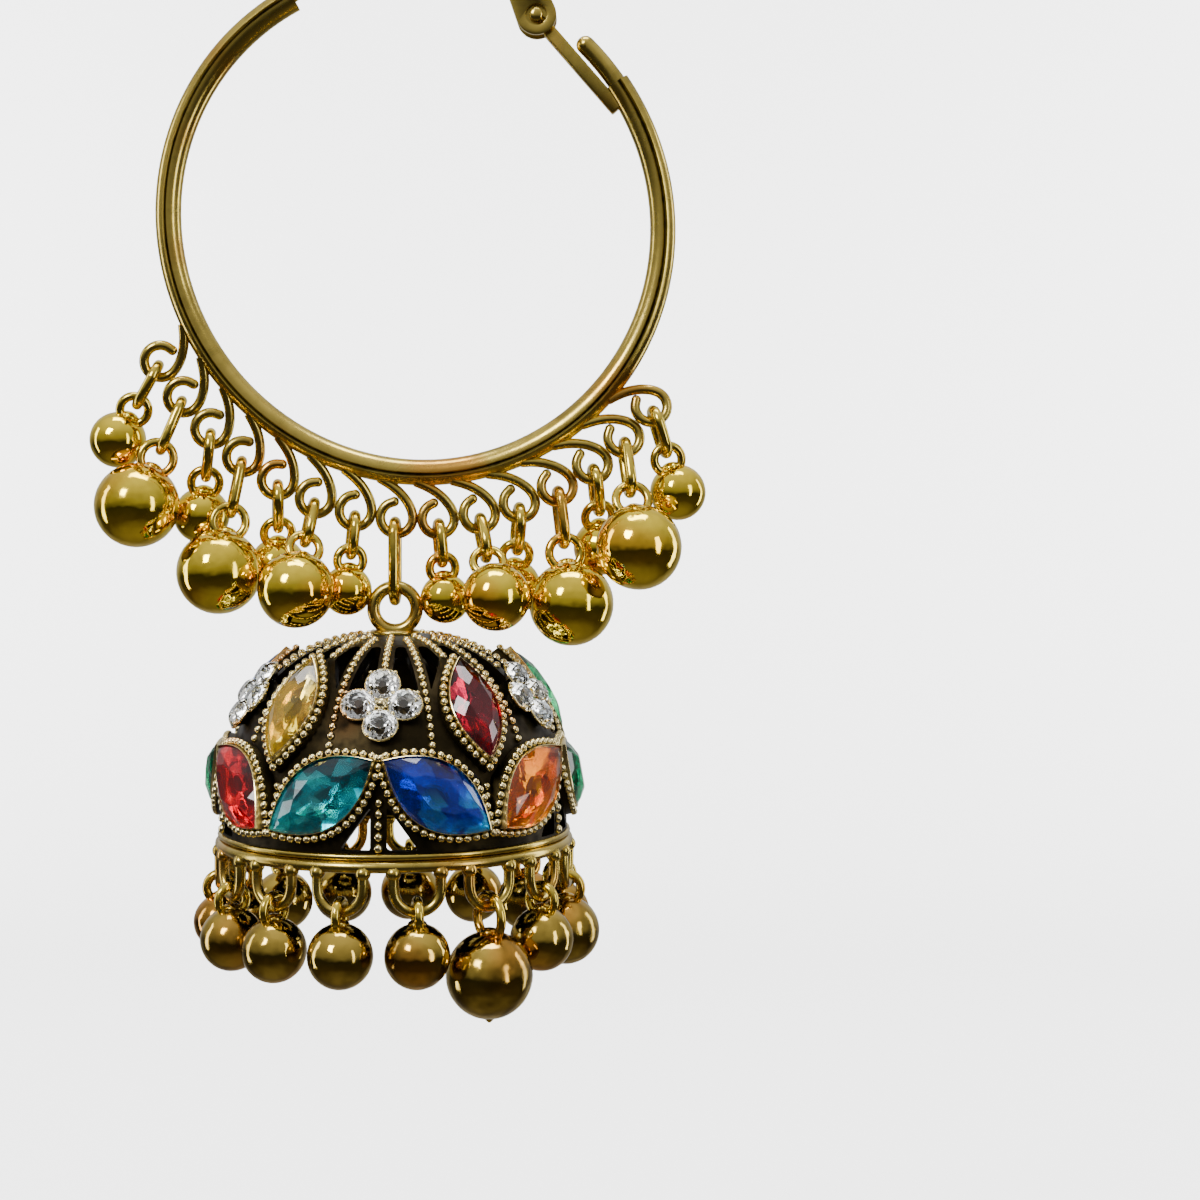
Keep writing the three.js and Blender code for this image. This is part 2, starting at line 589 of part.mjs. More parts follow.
function pendantLink() {
  const stretch = PENDANT_LINK_LENGTH - 2 * LINK_HALF_WIDTH - 2 * PENDANT_LINK_WIRE_RADIUS;
  return solid(wireRing(LINK_HALF_WIDTH, PENDANT_LINK_WIRE_RADIUS, stretch).rotateZ(Math.PI / 2));
}

function placed(mesh, frame) {
  mesh.applyMatrix4(frame);
  return mesh;
}

// The whole earring, hung so that the ear wire's highest point is the origin
const earring = new THREE.Group();
earring.position.copy(hangPoint).negate();

const hoop = new THREE.Group();
hoop.add(meshOf("hoop_frame", hoopFrame(), GOLD));
const dropSizes = [BIG_DROP, MIDDLE_DROP, SMALL_DROP, SHORT_DROP];
const dropBodies = new Map(dropSizes.map((size) => [size, linkedDrop(size)]));
for (const drop of HOOP_DROPS) {
  const name = "hoop_drop_" + String(drop.hook).padStart(2, "0");
  hoop.add(placed(meshOf(name, dropBodies.get(drop.size), BRIGHT_GOLD), dropPlace(drop)));
}
earring.add(hoop);

const latch = meshOf("latch_lever", lever(), GOLD);
latch.position.copy(pivot);
latch.rotation.y = -radians(LEVER_LEAN);
earring.add(latch);

const pendantPivot = new THREE.Vector3(0, 0, -HOOK_LOOP_RADIUS).applyMatrix4(hookFrame(PENDANT_HOOK));
pendantPivot.y = 0;
const linkTop = pendantPivot.z + HOOK_WIRE_RADIUS + PLAY + PENDANT_LINK_WIRE_RADIUS;
const linkBottom = linkTop - PENDANT_LINK_LENGTH + 2 * PENDANT_LINK_WIRE_RADIUS;
const link = meshOf("pendant_link", pendantLink(), GOLD);
link.position.set(pendantPivot.x, 0, (linkTop + linkBottom) / 2);
earring.add(link);

const pendant = new THREE.Group();
const bailTop = DOME_HEIGHT - BAIL_SINK + BAIL_WIRE_RADIUS + 2 * BAIL_RADIUS;
const bailRest = linkBottom + PENDANT_LINK_WIRE_RADIUS + PLAY + BAIL_WIRE_RADIUS;
pendant.position.set(pendantPivot.x, 0, bailRest - bailTop);
pendant.add(meshOf("dome", dome(), GOLD));

settings.forEach(({ stone, azimuth }, i) => {
  const upper = stone === UPPER_STONE;
  const place = upper ? i - lowerAzimuths.length : i;
  const colour = (upper ? UPPER_COLOURS : LOWER_COLOURS)[place];
  const name = (upper ? "upper_stone_" : "lower_stone_") + String(place + 1).padStart(2, "0");
  const material = new THREE.MeshStandardMaterial({ color: colour, roughness: 0.05, metalness: 0 });
  pendant.add(placed(meshOf(name, cutStone(stone), material), stoneFrame(stone, azimuth)));
});

sectors.forEach((azimuth, i) => {
  const frame = domeFrame(azimuth, CLUSTER_HEIGHT * DOME_HEIGHT);
  pendant.add(placed(meshOf("crystal_cluster_" + (i + 1), cluster(), CLEAR), frame));
});

scallopAzimuths.forEach((azimuth, i) => {
  const special = RIM_DROP_SIZES.find(({ scallop }) => scallop === i + 1);
  const body = rimDrop(special ? special.size : RIM_DROP);
  const frame = rimFrame(azimuth).multiply(new THREE.Matrix4().makeTranslation(0, 0, -SCALLOP_FALL));
  pendant.add(placed(meshOf("rim_drop_" + String(i + 1).padStart(2, "0"), body, BRIGHT_GOLD), frame));
});
earring.add(pendant);

export default earring;
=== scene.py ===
# Jhumka earring: the finished metal, beads and stones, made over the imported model.
# Pieces are modelled in millimetres and brought to metres as each one is finished.
import json
import math
from contextlib import contextmanager
from math import radians

import bpy
import numpy as np
from mathutils import Matrix, Vector

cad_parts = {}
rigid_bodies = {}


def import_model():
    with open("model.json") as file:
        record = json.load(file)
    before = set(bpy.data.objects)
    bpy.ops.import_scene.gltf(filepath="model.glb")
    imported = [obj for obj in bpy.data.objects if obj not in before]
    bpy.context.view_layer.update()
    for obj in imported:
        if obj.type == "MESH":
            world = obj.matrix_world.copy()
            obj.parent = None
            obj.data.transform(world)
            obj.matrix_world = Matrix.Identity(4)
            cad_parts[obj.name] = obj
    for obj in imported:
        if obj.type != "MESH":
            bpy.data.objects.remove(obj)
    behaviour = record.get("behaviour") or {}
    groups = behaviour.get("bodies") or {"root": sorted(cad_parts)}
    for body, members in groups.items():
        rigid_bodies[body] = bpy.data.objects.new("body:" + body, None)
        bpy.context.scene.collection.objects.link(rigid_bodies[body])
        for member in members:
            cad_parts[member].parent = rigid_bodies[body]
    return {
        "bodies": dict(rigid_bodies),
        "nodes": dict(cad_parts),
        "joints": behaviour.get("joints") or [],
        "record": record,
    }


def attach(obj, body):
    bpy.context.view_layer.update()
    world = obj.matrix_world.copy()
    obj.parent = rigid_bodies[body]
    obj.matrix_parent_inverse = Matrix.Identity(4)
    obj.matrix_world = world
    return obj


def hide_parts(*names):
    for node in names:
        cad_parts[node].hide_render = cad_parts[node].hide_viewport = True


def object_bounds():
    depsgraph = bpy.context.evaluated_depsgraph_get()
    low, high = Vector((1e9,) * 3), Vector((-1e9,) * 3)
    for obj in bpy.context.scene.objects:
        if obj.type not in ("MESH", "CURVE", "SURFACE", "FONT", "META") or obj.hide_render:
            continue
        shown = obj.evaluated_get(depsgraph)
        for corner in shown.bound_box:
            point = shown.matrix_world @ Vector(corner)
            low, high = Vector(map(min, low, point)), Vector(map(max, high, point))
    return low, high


# A millimetre in metres, and how near two points of a wire are when they are welded, in millimetres
MM = 0.001
WELD = 0.002

# Hoop tube: an oval centre line, with a groove round its front
HOOP_LONG_RADIUS = 23.5
HOOP_SHORT_RADIUS = 22.6
HOOP_TURN = 123
HOOP_START = 118.5
HOOP_END = 394.5
TUBE_RADIUS = 1.2
TUBE_STEPS = 240
TUBE_SIDES = 36
GROOVE_SIDE = 8
GROOVE_DEPTH = 0.26
TUBE_END_TRIM = 0.1
PIVOT_FROM_CENTRE = Vector((11.2, 0, 18.9))

# Ear wire and clasp
EAR_WIRE_RADIUS = 0.45
EAR_WIRE_PULL = 9
EAR_WIRE_FALL = 6
NOSE_RADIUS = 0.88
NOSE_ARC = 11
NOSE_ROOT = 2
PIN_RADIUS = 0.5
PIN_HEAD_RADIUS = 0.62
PIN_HEAD_FLATNESS = 0.35
PIN_HOLE_RADIUS = 1
KNUCKLE_RADIUS = 1
TAB_WIDTH = 1.25
TAB_THICKNESS = 1.2
TAB_OVERRUN = 0.9
TAB_SINK = 0.3
TAB_EDGE = 0.15
LEVER_LEAN = 22
LEVER_LENGTH = 13
LEVER_EYE_RADIUS = 1.85
LEVER_TIP_RADIUS = 1.2
LEVER_DEPTH = 2.6
LEVER_SHEET = 0.45
LEVER_WEB_START = 1.5
LEVER_EDGE = 0.09
LATCH_REACH = 11
LATCH_GAP = 0.2

# Hooks soldered along the tube
PENDANT_HOOK = 8
HOOK_COUNT = 15
HOOK_MIDDLE = 265.6
HOOK_PITCH = 8.1
HOOK_REACH = 4.3
HOOK_LOOP_RADIUS = 1.5
HOOK_WIRE_RADIUS = 0.475
HOOK_TAIL_ANGLE = 20
HOOK_TAIL_RUN = 1.95
HOOK_TAIL_BEND = 2
HOOK_SWEEP = 276
HOOK_SINK = 0.4
HOOK_TURN = 12

# Drops: a link, a ball's own loop and the ball
PLAY = 0.12
SINK = 0.22
LOOP_SINK = 0.7
SOLDER_RADIUS = 0.85
SOLDER_SINK = 0.1
SOLDER_FLATNESS = 0.5
NIB_ROOT_RADIUS = 0.65
NIB_TIP_RADIUS = 0.14
NIB_LENGTH = 0.5
NIB_FALL = 0.08
LINK_WIRE_RADIUS = 0.5
LINK_HALF_WIDTH = 1.35
LOOP_WIRE_RADIUS = 0.42
BIG_DROP = (6, 1.5, 3.9)
MIDDLE_DROP = (5, 1.4, 3.5)
SMALL_DROP = (5.2, 1.3, 2.6)
SHORT_DROP = (4.7, 1.2, 2.3)

# Hook, size as link length, loop radius and ball radius, degrees to the right and to the rear
HOOP_DROPS = [
    (1, SMALL_DROP, -30, 8),
    (2, BIG_DROP, -22, -8),
    (3, SMALL_DROP, -9, 16),
    (4, BIG_DROP, -10, -10),
    (5, SMALL_DROP, -3, 20),
    (6, MIDDLE_DROP, -8, -28),
    (7, SHORT_DROP, -6, 0),
    (9, SHORT_DROP, 5, 0),
    (10, MIDDLE_DROP, 14.5, -34),
    (11, SMALL_DROP, -6, 22),
    (12, BIG_DROP, 7, -6),
    (13, SMALL_DROP, 5, 24),
    (14, BIG_DROP, 8, -24),
    (15, SMALL_DROP, 17, 8),
]

# The drop that the bell passes closest to, with its ball a little smaller to clear the beads
CLOSE_DROP = 10
CLOSE_DROP_TRIM = 0.4

# Pendant link, bail and dome
PENDANT_LINK_LENGTH = 8.3
PENDANT_LINK_WIRE_RADIUS = 0.52
BAIL_RADIUS = 2
BAIL_WIRE_RADIUS = 0.6
BAIL_SINK = 0.35
DOME_RADIUS = 15.9
DOME_HEIGHT = 19
DOME_POWER = 2.45
DOME_WALL = 1.2
DOME_RINGS = 22
DOME_STEPS = 100
SECTOR = 72
SECTORS = 360 // SECTOR
RIB_PITCH = 18
RIM_WIRE_RADIUS = 0.53
UPPER_WIRE_RADIUS = 0.3
UPPER_WIRE_HEIGHT = 0.85
CROWN_RADIUS = 2.3
CROWN_HEIGHT = 0.5
CROWN_RISE = 0.02
CROWN_EDGE = 0.2

# Beads of the ribs, borders and posts, cut flat below; feet, tops and shares are of the dome's height
BEAD_CUT = 0.45
BEAD_RADIUS = 0.39
BEAD_SPACING = 0.84
BEAD_MARGIN = 0.1
BEAD_TO_CRYSTAL = 1.75
RIB_TOPS = (0.995, 0.987)
RIB_FOOT = 0.43
LONG_RIB_FOOT = 0.1
BORDER_BEAD_RADIUS = 0.38
BORDER_BEAD_SPACING = 0.8
BORDER_BEAD_GAP = 0.2
BORDER_BEAD_RISE = 0.08
POST_BEAD_RADIUS = 0.45
POST_BEAD_SPACING = 0.97
POST_SHARES = (0.06, 0.33)

# Marquise stones: length, width, azimuth in a sector, share of the dome's height, turn from level
LOWER_STONE = (11, 5.7, 18, 0.315, -34)
UPPER_STONE = (9.8, 4.7, 36, 0.675, 90)
SETTING_BORDER = 0.75
SETTING_POINT_BORDER = 1.3
SETTING_SIDES = 48
FAR_SIDE = -5
BORDER_FALL = 0.6
BORDER_LEVEL_DEPTH = 0.3
SETTING_RISE = 0.3
SETTING_ROOT = 1.0
STONE_GIRDLE = 0.67
STONE_CROWN = 1.1
STONE_BACK = 0.75
BEZEL_LIP = 0.2

# Clusters of four round stones
CLUSTER_HEIGHT = 0.705
CLUSTER_STONE_RADIUS = 1.5
CLUSTER_SPREAD = 2.02
CLUSTER_GIRDLE = 0.57
CLUSTER_STONE_RISE = 0.75
CLUSTER_STONE_BACK = 0.9
CLUSTER_FIT = 0.02
CLUSTER_BEAD_RADIUS = 0.6
CUP_FOOT_RADIUS = 0.25
CUP_DEPTH = 0.95
CUP_FALL = 0.6
CUP_WALL = 0.12
COLLET_WIRE_RADIUS = 0.13
COLLET_FALL = 0.18
PRONG_RADIUS = 0.22

# Piercings on the right of a sector's middle, each mirrored: azimuth and share of the height
PIERCINGS = [
    [(3.2, 0.79), (15.4, 0.77), (13.2, 0.955), (5.6, 0.955)],
    [(20.8, 0.77), (32.8, 0.9), (30.6, 0.955), (23, 0.955)],
    [(2.6, 0.07), (12.5, 0.07), (2.6, 0.27)],
    [(34.4, 0.19), (34.4, 0.37), (29, 0.445)],
]
CUT_REACH = 2.5
CUT_ROUNDING = 0.35

# Scalloped loops under the rim, and their drops as loop radius and ball radius
SCALLOP_COUNT = 15
SCALLOP_HALF_WIDTH = 2.05
SCALLOP_FALL = 3.9
SCALLOP_WIRE_RADIUS = 0.43
SCALLOP_BODY_RADIUS = 0.49
KNOB_RADIUS = 0.68
RIM_DROP = (1.3, 2.85)
RIM_DROP_SIZES = {2: (1.9, 3.8), 4: (1.4, 3.1), 12: (1.3, 2.5)}

# Camera: the photo's frame is 1200 pixels wide, and one pixel is 0.0925 mm at the hoop
PIXEL = 0.0925
FRAME_PIXELS = 1200
OVAL_CENTRE_PIXEL = (415.6, 221.3)
CAMERA_DISTANCE = 210
CAMERA_RISE = 11
SENSOR_WIDTH = 36

# Floor and the wall behind it, in metres, though the floor's drop is in millimetres
FLOOR_DROP = 60
FLOOR_SIZE = (4, 1.6)
FLOOR_FORWARD = 0.2
WALL_HEIGHT = 1.6
COVE_RADIUS = 0.3
# Selection and finishing


def choose(*pieces):
    """Selects these pieces alone, the last one active."""
    bpy.ops.object.select_all(action="DESELECT")
    for piece in pieces:
        piece.select_set(True)
    bpy.context.view_layer.objects.active = pieces[-1]


def bake_place(piece):
    piece.data.transform(piece.matrix_basis)
    piece.matrix_basis = Matrix.Identity(4)


def joined(pieces):
    for piece in pieces:
        bake_place(piece)
    choose(*pieces)
    bpy.ops.object.join()
    return bpy.context.object


def copied(piece, matrix):
    twin = piece.copy()
    twin.data = piece.data.copy()
    twin.data.transform(matrix)
    bpy.context.scene.collection.objects.link(twin)
    return twin


def discard(*pieces):
    for piece in pieces:
        bpy.data.objects.remove(piece)


@contextmanager
def reshaping(piece):
    """Edit mode with the whole piece selected, and all its faces turned outwards at the end."""
    choose(piece)
    bpy.ops.object.mode_set(mode="EDIT")
    bpy.ops.mesh.select_all(action="SELECT")
    yield
    bpy.ops.mesh.select_all(action="SELECT")
    bpy.ops.mesh.normals_make_consistent(inside=False)
    bpy.ops.object.mode_set(mode="OBJECT")


def modified(piece, kind, **settings):
    """Applies one modifier to a piece."""
    choose(piece)
    change = piece.modifiers.new(kind.lower(), kind)
    for key, value in settings.items():
        setattr(change, key, value)
    bpy.ops.object.modifier_apply(modifier=change.name)


def finished(piece, name, body, materials, nodes=(), angle=40, place=Matrix.Identity(4)):
    """Sets a piece in its place in metres, names it, and puts it on its body for its CAD nodes."""
    bake_place(piece)
    piece.data.transform(place)
    piece.data.transform(Matrix.Scale(MM, 4))
    piece.name = name
    piece.data.name = name
    for material in materials:
        piece.data.materials.append(material)
    choose(piece)
    if angle:
        bpy.ops.object.shade_smooth_by_angle(angle=radians(angle))
    else:
        bpy.ops.object.shade_flat()
    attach(piece, body)
    if nodes:
        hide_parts(*nodes)


def coated(piece, material):
    piece.data.materials.append(material)
    return piece


def mark(piece, values, name="painted_shade_and_oxide"):
    """Stores a value from 0 to 1 on each vertex, such as how much painted shade and oxide a hollow gets."""
    layer = piece.data.attributes.new(name, "FLOAT", "POINT")
    layer.data.foreach_set("value", np.asarray(values, np.float32))


# Shapes that several pieces use


def wire_ring(radius, wire_radius, steps, sides, **place):
    bpy.ops.mesh.primitive_torus_add(
        major_segments=steps, minor_segments=sides, major_radius=radius, minor_radius=wire_radius, **place
    )
    return bpy.context.object


def round_ball(radius, segments, rings, **place):
    bpy.ops.mesh.primitive_uv_sphere_add(segments=segments, ring_count=rings, radius=radius, **place)
    return bpy.context.object


def round_bar(radius, length, sides, **place):
    bpy.ops.mesh.primitive_cylinder_add(vertices=sides, radius=radius, depth=length, **place)
    return bpy.context.object


def scaled_box(length, depth, height):
    bpy.ops.mesh.primitive_cube_add(size=1)
    bpy.context.object.data.transform(Matrix.Diagonal((length, depth, height, 1)))
    return bpy.context.object


def empty_piece():
    bpy.ops.mesh.primitive_circle_add(vertices=3, radius=1, fill_type="NOTHING")
    bpy.context.object.data.clear_geometry()
    return bpy.context.object


def from_faces(points, faces):
    mesh = bpy.data.meshes.new("faces")
    mesh.from_pydata(points, [], faces)
    piece = bpy.data.objects.new("faces", mesh)
    bpy.context.scene.collection.objects.link(piece)
    return piece


def extrude(height):
    bpy.ops.mesh.extrude_region_move(TRANSFORM_OT_translate={"value": (0, 0, height)})


def frame_of(across, through, up, origin):
    frame = Matrix((across, through, up)).transposed().to_4x4()
    frame.translation = origin
    return frame


def lengths_along(points):
    """How far along a line through the points each of them lies."""
    lengths = [0.0]
    for a, b in zip(points, points[1:]):
        lengths.append(lengths[-1] + (b - a).length)
    return lengths


def wire(points, radius, round_end=False):
    """A round wire along a smooth line through the points."""
    bpy.ops.curve.primitive_bezier_curve_add()
    piece = bpy.context.object
    spline = piece.data.splines[0]
    spline.bezier_points.add(len(points) - 2)
    for knot, point in zip(spline.bezier_points, points):
        knot.co = point
        knot.handle_left_type = "AUTO"
        knot.handle_right_type = "AUTO"
    spline.resolution_u = 3
    piece.data.bevel_depth = radius
    piece.data.bevel_resolution = 3
    piece.data.use_fill_caps = True
    choose(piece)
    bpy.ops.object.convert(target="MESH")
    piece = bpy.context.object
    with reshaping(piece):
        bpy.ops.mesh.remove_doubles(threshold=WELD)
    if round_end:
        piece = joined([round_ball(radius, 12, 8, location=points[-1]), piece])
    return piece


def link_ring(half_width, wire_radius, length):
    """A long ring standing in the YZ plane, length measured over its wires."""
    link = wire_ring(half_width, wire_radius, 32, 12)
    link.data.transform(Matrix.Rotation(radians(90), 4, "Y"))
    stretch = length / 2 - half_width - wire_radius
    for vertex in link.data.vertices:
        if abs(vertex.co.z) > 1e-4:
            vertex.co.z += math.copysign(stretch, vertex.co.z)
    return link


def ball_on_loop(holder, loop_radius, ball_radius, crosswise, ball_metal, wire_metal, pointed=False):
    """A ball soldered under its own loop. The loop's highest wire centre is at the holder's height."""
    middle = holder - loop_radius
    turn = (radians(90), 0, radians(90) if crosswise else 0)
    loop = wire_ring(loop_radius, LOOP_WIRE_RADIUS, 28, 12, location=(0, 0, middle), rotation=turn)
    top = middle - loop_radius + LOOP_SINK
    ball = round_ball(ball_radius, 40, 24, location=(0, 0, top - ball_radius))
    solder = round_ball(SOLDER_RADIUS, 20, 10, location=(0, 0, top - SOLDER_SINK))
    solder.scale.z = SOLDER_FLATNESS
    parts = [coated(solder, ball_metal), coated(ball, ball_metal), coated(loop, wire_metal)]
    if pointed:
        bpy.ops.mesh.primitive_cone_add(
            vertices=16, radius1=NIB_ROOT_RADIUS, radius2=NIB_TIP_RADIUS, depth=NIB_LENGTH,
            location=(0, 0, top - 2 * ball_radius - NIB_FALL), rotation=(math.pi, 0, 0),
        )
        parts.insert(0, coated(bpy.context.object, ball_metal))
    return joined(parts)


# Hoop frame


def oval_point(angle):
    turn = radians(angle - HOOP_TURN)
    flat = Vector((HOOP_LONG_RADIUS * math.cos(turn), HOOP_SHORT_RADIUS * math.sin(turn)))
    flat.rotate(Matrix.Rotation(radians(HOOP_TURN), 2))
    return Vector((flat.x, 0, flat.y))


def oval_place(angle):
    point = oval_point(angle)
    along = (oval_point(angle + 0.5) - oval_point(angle - 0.5)).normalized()
    return point, along, Vector((along.z, 0, -along.x))


def hook_frame(hook):
    """A hook loop's frame on the hoop: Z back to the tube, X along it."""
    point, along, outward = oval_place(HOOK_MIDDLE + (hook - PENDANT_HOOK) * HOOK_PITCH)
    inward = -outward
    across = Vector((inward.z, 0, -inward.x))
    if hook != PENDANT_HOOK:
        across.rotate(Matrix.Rotation(radians(HOOK_TURN), 3, inward))
    return frame_of(across, inward.cross(across), inward, point + outward * HOOK_REACH)


def hook_points():
    start = radians(HOOK_TAIL_ANGLE)
    joint = Vector((math.cos(start), 0, math.sin(start))) * HOOK_LOOP_RADIUS
    bend = joint + Vector((-math.sin(start), 0, math.cos(start))) * HOOK_TAIL_BEND
    root = Vector((-HOOK_TAIL_RUN, 0, HOOK_REACH - TUBE_RADIUS + HOOK_SINK))
    tail = [root * (1 - t) ** 2 + bend * 2 * t * (1 - t) + joint * t * t for t in (0, 0.25, 0.5, 0.75)]
    turns = [start - radians(HOOK_SWEEP) * step / 10 for step in range(11)]
    return tail + [Vector((math.cos(turn), 0, math.sin(turn))) * HOOK_LOOP_RADIUS for turn in turns]


def hoop_tube():
    middle = (HOOP_LONG_RADIUS + HOOP_SHORT_RADIUS) / 2
    tube = wire_ring(middle, TUBE_RADIUS, TUBE_STEPS, TUBE_SIDES)
    painted_shade_and_oxide = np.zeros(len(tube.data.vertices))
    tube.data.edges.foreach_set("select", [False] * len(tube.data.edges))
    tube.data.polygons.foreach_set("select", [False] * len(tube.data.polygons))
    gap_start = HOOP_END - HOOP_TURN + TUBE_END_TRIM
    gap_end = HOOP_START - HOOP_TURN + 360 - TUBE_END_TRIM
    for vertex in tube.data.vertices:
        turn = math.atan2(vertex.co.y, vertex.co.x)
        core = Vector((math.cos(turn), math.sin(turn), 0)) * middle
        arm = vertex.co - core
        side = math.degrees(math.atan2(arm.z, arm.dot(core.normalized())))
        if abs(side - GROOVE_SIDE * 360 / TUBE_SIDES) < 1:
            # The groove is marked for painted shade, with some oxide.
            vertex.co = core + arm * (1 - GROOVE_DEPTH / TUBE_RADIUS)
            painted_shade_and_oxide[vertex.index] = 1
        vertex.select = gap_start < math.degrees(turn) % 360 < gap_end
    mark(tube, painted_shade_and_oxide)
    choose(tube)
    bpy.context.tool_settings.mesh_select_mode = (True, False, False)
    bpy.ops.object.mode_set(mode="EDIT")
    bpy.ops.mesh.delete(type="VERT")
    bpy.ops.mesh.select_all(action="DESELECT")
    bpy.ops.mesh.select_non_manifold(extend=False)
    bpy.ops.mesh.fill_holes(sides=0)
    bpy.ops.object.mode_set(mode="OBJECT")
    spread = Matrix.Diagonal((HOOP_LONG_RADIUS / middle, HOOP_SHORT_RADIUS / middle, 1, 1))
    upright = Matrix.Rotation(radians(90), 4, "X") @ Matrix.Rotation(radians(HOOP_TURN), 4, "Z")
    tube.data.transform(upright @ spread)
    return tube


def lever_axes():
    lean = radians(LEVER_LEAN)
    up = Vector((-math.sin(lean), 0, math.cos(lean)))
    return up, Vector((up.z, 0, -up.x))


def lever_half_width(distance):
    share = distance / LEVER_LENGTH
    return LEVER_EYE_RADIUS + (LEVER_TIP_RADIUS - LEVER_EYE_RADIUS) * share


def ear_wire_points():
    """A curve from inside the tube's upper end to the wire's tip between the lever's cheeks."""
    point, along, outward = oval_place(HOOP_START)
    up, out = lever_axes()
    start = point + along * 2 * TUBE_RADIUS
    aside = lever_half_width(LATCH_REACH) - LEVER_SHEET - LATCH_GAP - EAR_WIRE_RADIUS
    tip = PIVOT_FROM_CENTRE + up * LATCH_REACH + out * aside
    leave = point - along * EAR_WIRE_PULL
    arrive = tip + Vector((-EAR_WIRE_FALL / 2, 0, EAR_WIRE_FALL))
    return [
        start * (1 - t) ** 3 + leave * 3 * t * (1 - t) ** 2 + arrive * 3 * t * t * (1 - t) + tip * t**3
        for t in (step / 16 for step in range(17))
    ]


def hinge_tab():
    """The flat bar from the pin to the tube, with its round knuckle and the pin with domed heads."""
    point, along, outward = oval_place(HOOP_END)
    root = point - along * TAB_OVERRUN + outward * (TAB_SINK - TUBE_RADIUS - TAB_WIDTH / 2)
    reach = root - PIVOT_FROM_CENTRE
    length = reach.length + TAB_WIDTH
    bar = scaled_box(length, TAB_THICKNESS, TAB_WIDTH)
    bar.data.transform(Matrix.Translation((length / 2, 0, 0)))
    bar.data.transform(Matrix.Rotation(-math.atan2(reach.z, reach.x), 4, "Y"))
    modified(bar, "BEVEL", width=TAB_EDGE, segments=3)
    across = (radians(90), 0, 0)
    knuckle = round_bar(KNUCKLE_RADIUS, TAB_THICKNESS, 32, rotation=across)
    pin = round_bar(PIN_RADIUS, LEVER_DEPTH, 32, rotation=across)
    heads = [round_ball(PIN_HEAD_RADIUS, 24, 12, rotation=across) for side in (-1, 1)]
    for head, side in zip(heads, (-1, 1)):
        head.scale.z = PIN_HEAD_FLATNESS
        head.location.y = side * LEVER_DEPTH / 2
    tab = joined([bar, knuckle, pin] + heads)
    tab.data.transform(Matrix.Translation(PIVOT_FROM_CENTRE))
    return tab


def make_hoop(hoop_place, gold):
    tube = hoop_tube()
    arc = [oval_point(HOOP_END - NOSE_ROOT + (NOSE_ARC + NOSE_ROOT) * step / 5) for step in range(6)]
    nose = wire(arc, NOSE_RADIUS, round_end=True)
    ear = wire(ear_wire_points(), EAR_WIRE_RADIUS, round_end=True)
    template = wire(hook_points(), HOOK_WIRE_RADIUS, round_end=True)
    hooks = [copied(template, hook_frame(hook)) for hook in range(1, HOOK_COUNT + 1)]
    discard(template)
    hoop = joined([nose, ear, hinge_tab()] + hooks + [tube])
    finished(hoop, "hoop", "hoop", [gold], ["hoop_frame"], place=hoop_place)


def make_lever(pivot, gold):
    """Two cheeks with round ends, an eye for the pin, and a web that joins them on the outer side."""
    slope = math.asin((LEVER_EYE_RADIUS - LEVER_TIP_RADIUS) / LEVER_LENGTH)
    tip = LEVER_LENGTH - LEVER_TIP_RADIUS
    cheeks = []
    for side in (-1, 1):
        bpy.ops.mesh.primitive_circle_add(vertices=64, radius=1, fill_type="NOTHING")
        cheek = bpy.context.object
        for vertex in cheek.data.vertices:
            turn = math.atan2(vertex.co.y, vertex.co.x)
            upper = slope < turn < math.pi - slope
            radius = LEVER_TIP_RADIUS if upper else LEVER_EYE_RADIUS
            vertex.co = vertex.co * radius + Vector((0, tip if upper else 0, 0))
        with reshaping(cheek):
            bpy.ops.mesh.primitive_circle_add(vertices=32, radius=PIN_HOLE_RADIUS, fill_type="NOTHING")
            bpy.ops.mesh.select_all(action="SELECT")
            bpy.ops.mesh.fill(use_beauty=True)
            bpy.ops.mesh.select_all(action="SELECT")
            extrude(LEVER_SHEET)
        aside = Matrix.Translation((0, (LEVER_DEPTH - LEVER_SHEET) / 2 * side, 0))
        upright = Matrix.Rotation(radians(90), 4, "X")
        cheek.data.transform(aside @ upright @ Matrix.Translation((0, 0, -LEVER_SHEET / 2)))
        cheeks.append(cheek)
    web_length = tip - LEVER_WEB_START
    middle = LEVER_WEB_START + web_length / 2
    taper = math.atan((LEVER_EYE_RADIUS - LEVER_TIP_RADIUS) / LEVER_LENGTH)
    web = scaled_box(LEVER_SHEET, LEVER_DEPTH, web_length)
    web.data.transform(Matrix.Rotation(-taper, 4, "Y"))
    web.data.transform(Matrix.Translation((lever_half_width(middle) - LEVER_SHEET / 2, 0, middle)))
    lever = joined(cheeks + [web])
    modified(lever, "BEVEL", width=LEVER_EDGE, segments=2, limit_method="ANGLE")
    place = Matrix.Translation(pivot) @ Matrix.Rotation(-radians(LEVER_LEAN), 4, "Y")
    finished(lever, "lever", "lever", [gold], ["latch_lever"], place=place)


# Drops


def drop_place(hook, lean, back):
    """The frame of a drop that hangs in a hook's loop, turned to the right and to the rear."""
    loop = hook_frame(hook)
    through = loop.col[1].to_3d()
    down = Vector((math.tan(radians(lean)), math.tan(radians(back)), -1)).normalized()
    in_loop = (down - through * down.dot(through)).normalized()
    contact = loop.translation + in_loop * HOOK_LOOP_RADIUS
    along_wire = in_loop.cross(through)
    up = -down
    side = (along_wire - up * along_wire.dot(up)).normalized()
    return frame_of(side, up.cross(side), up, contact)


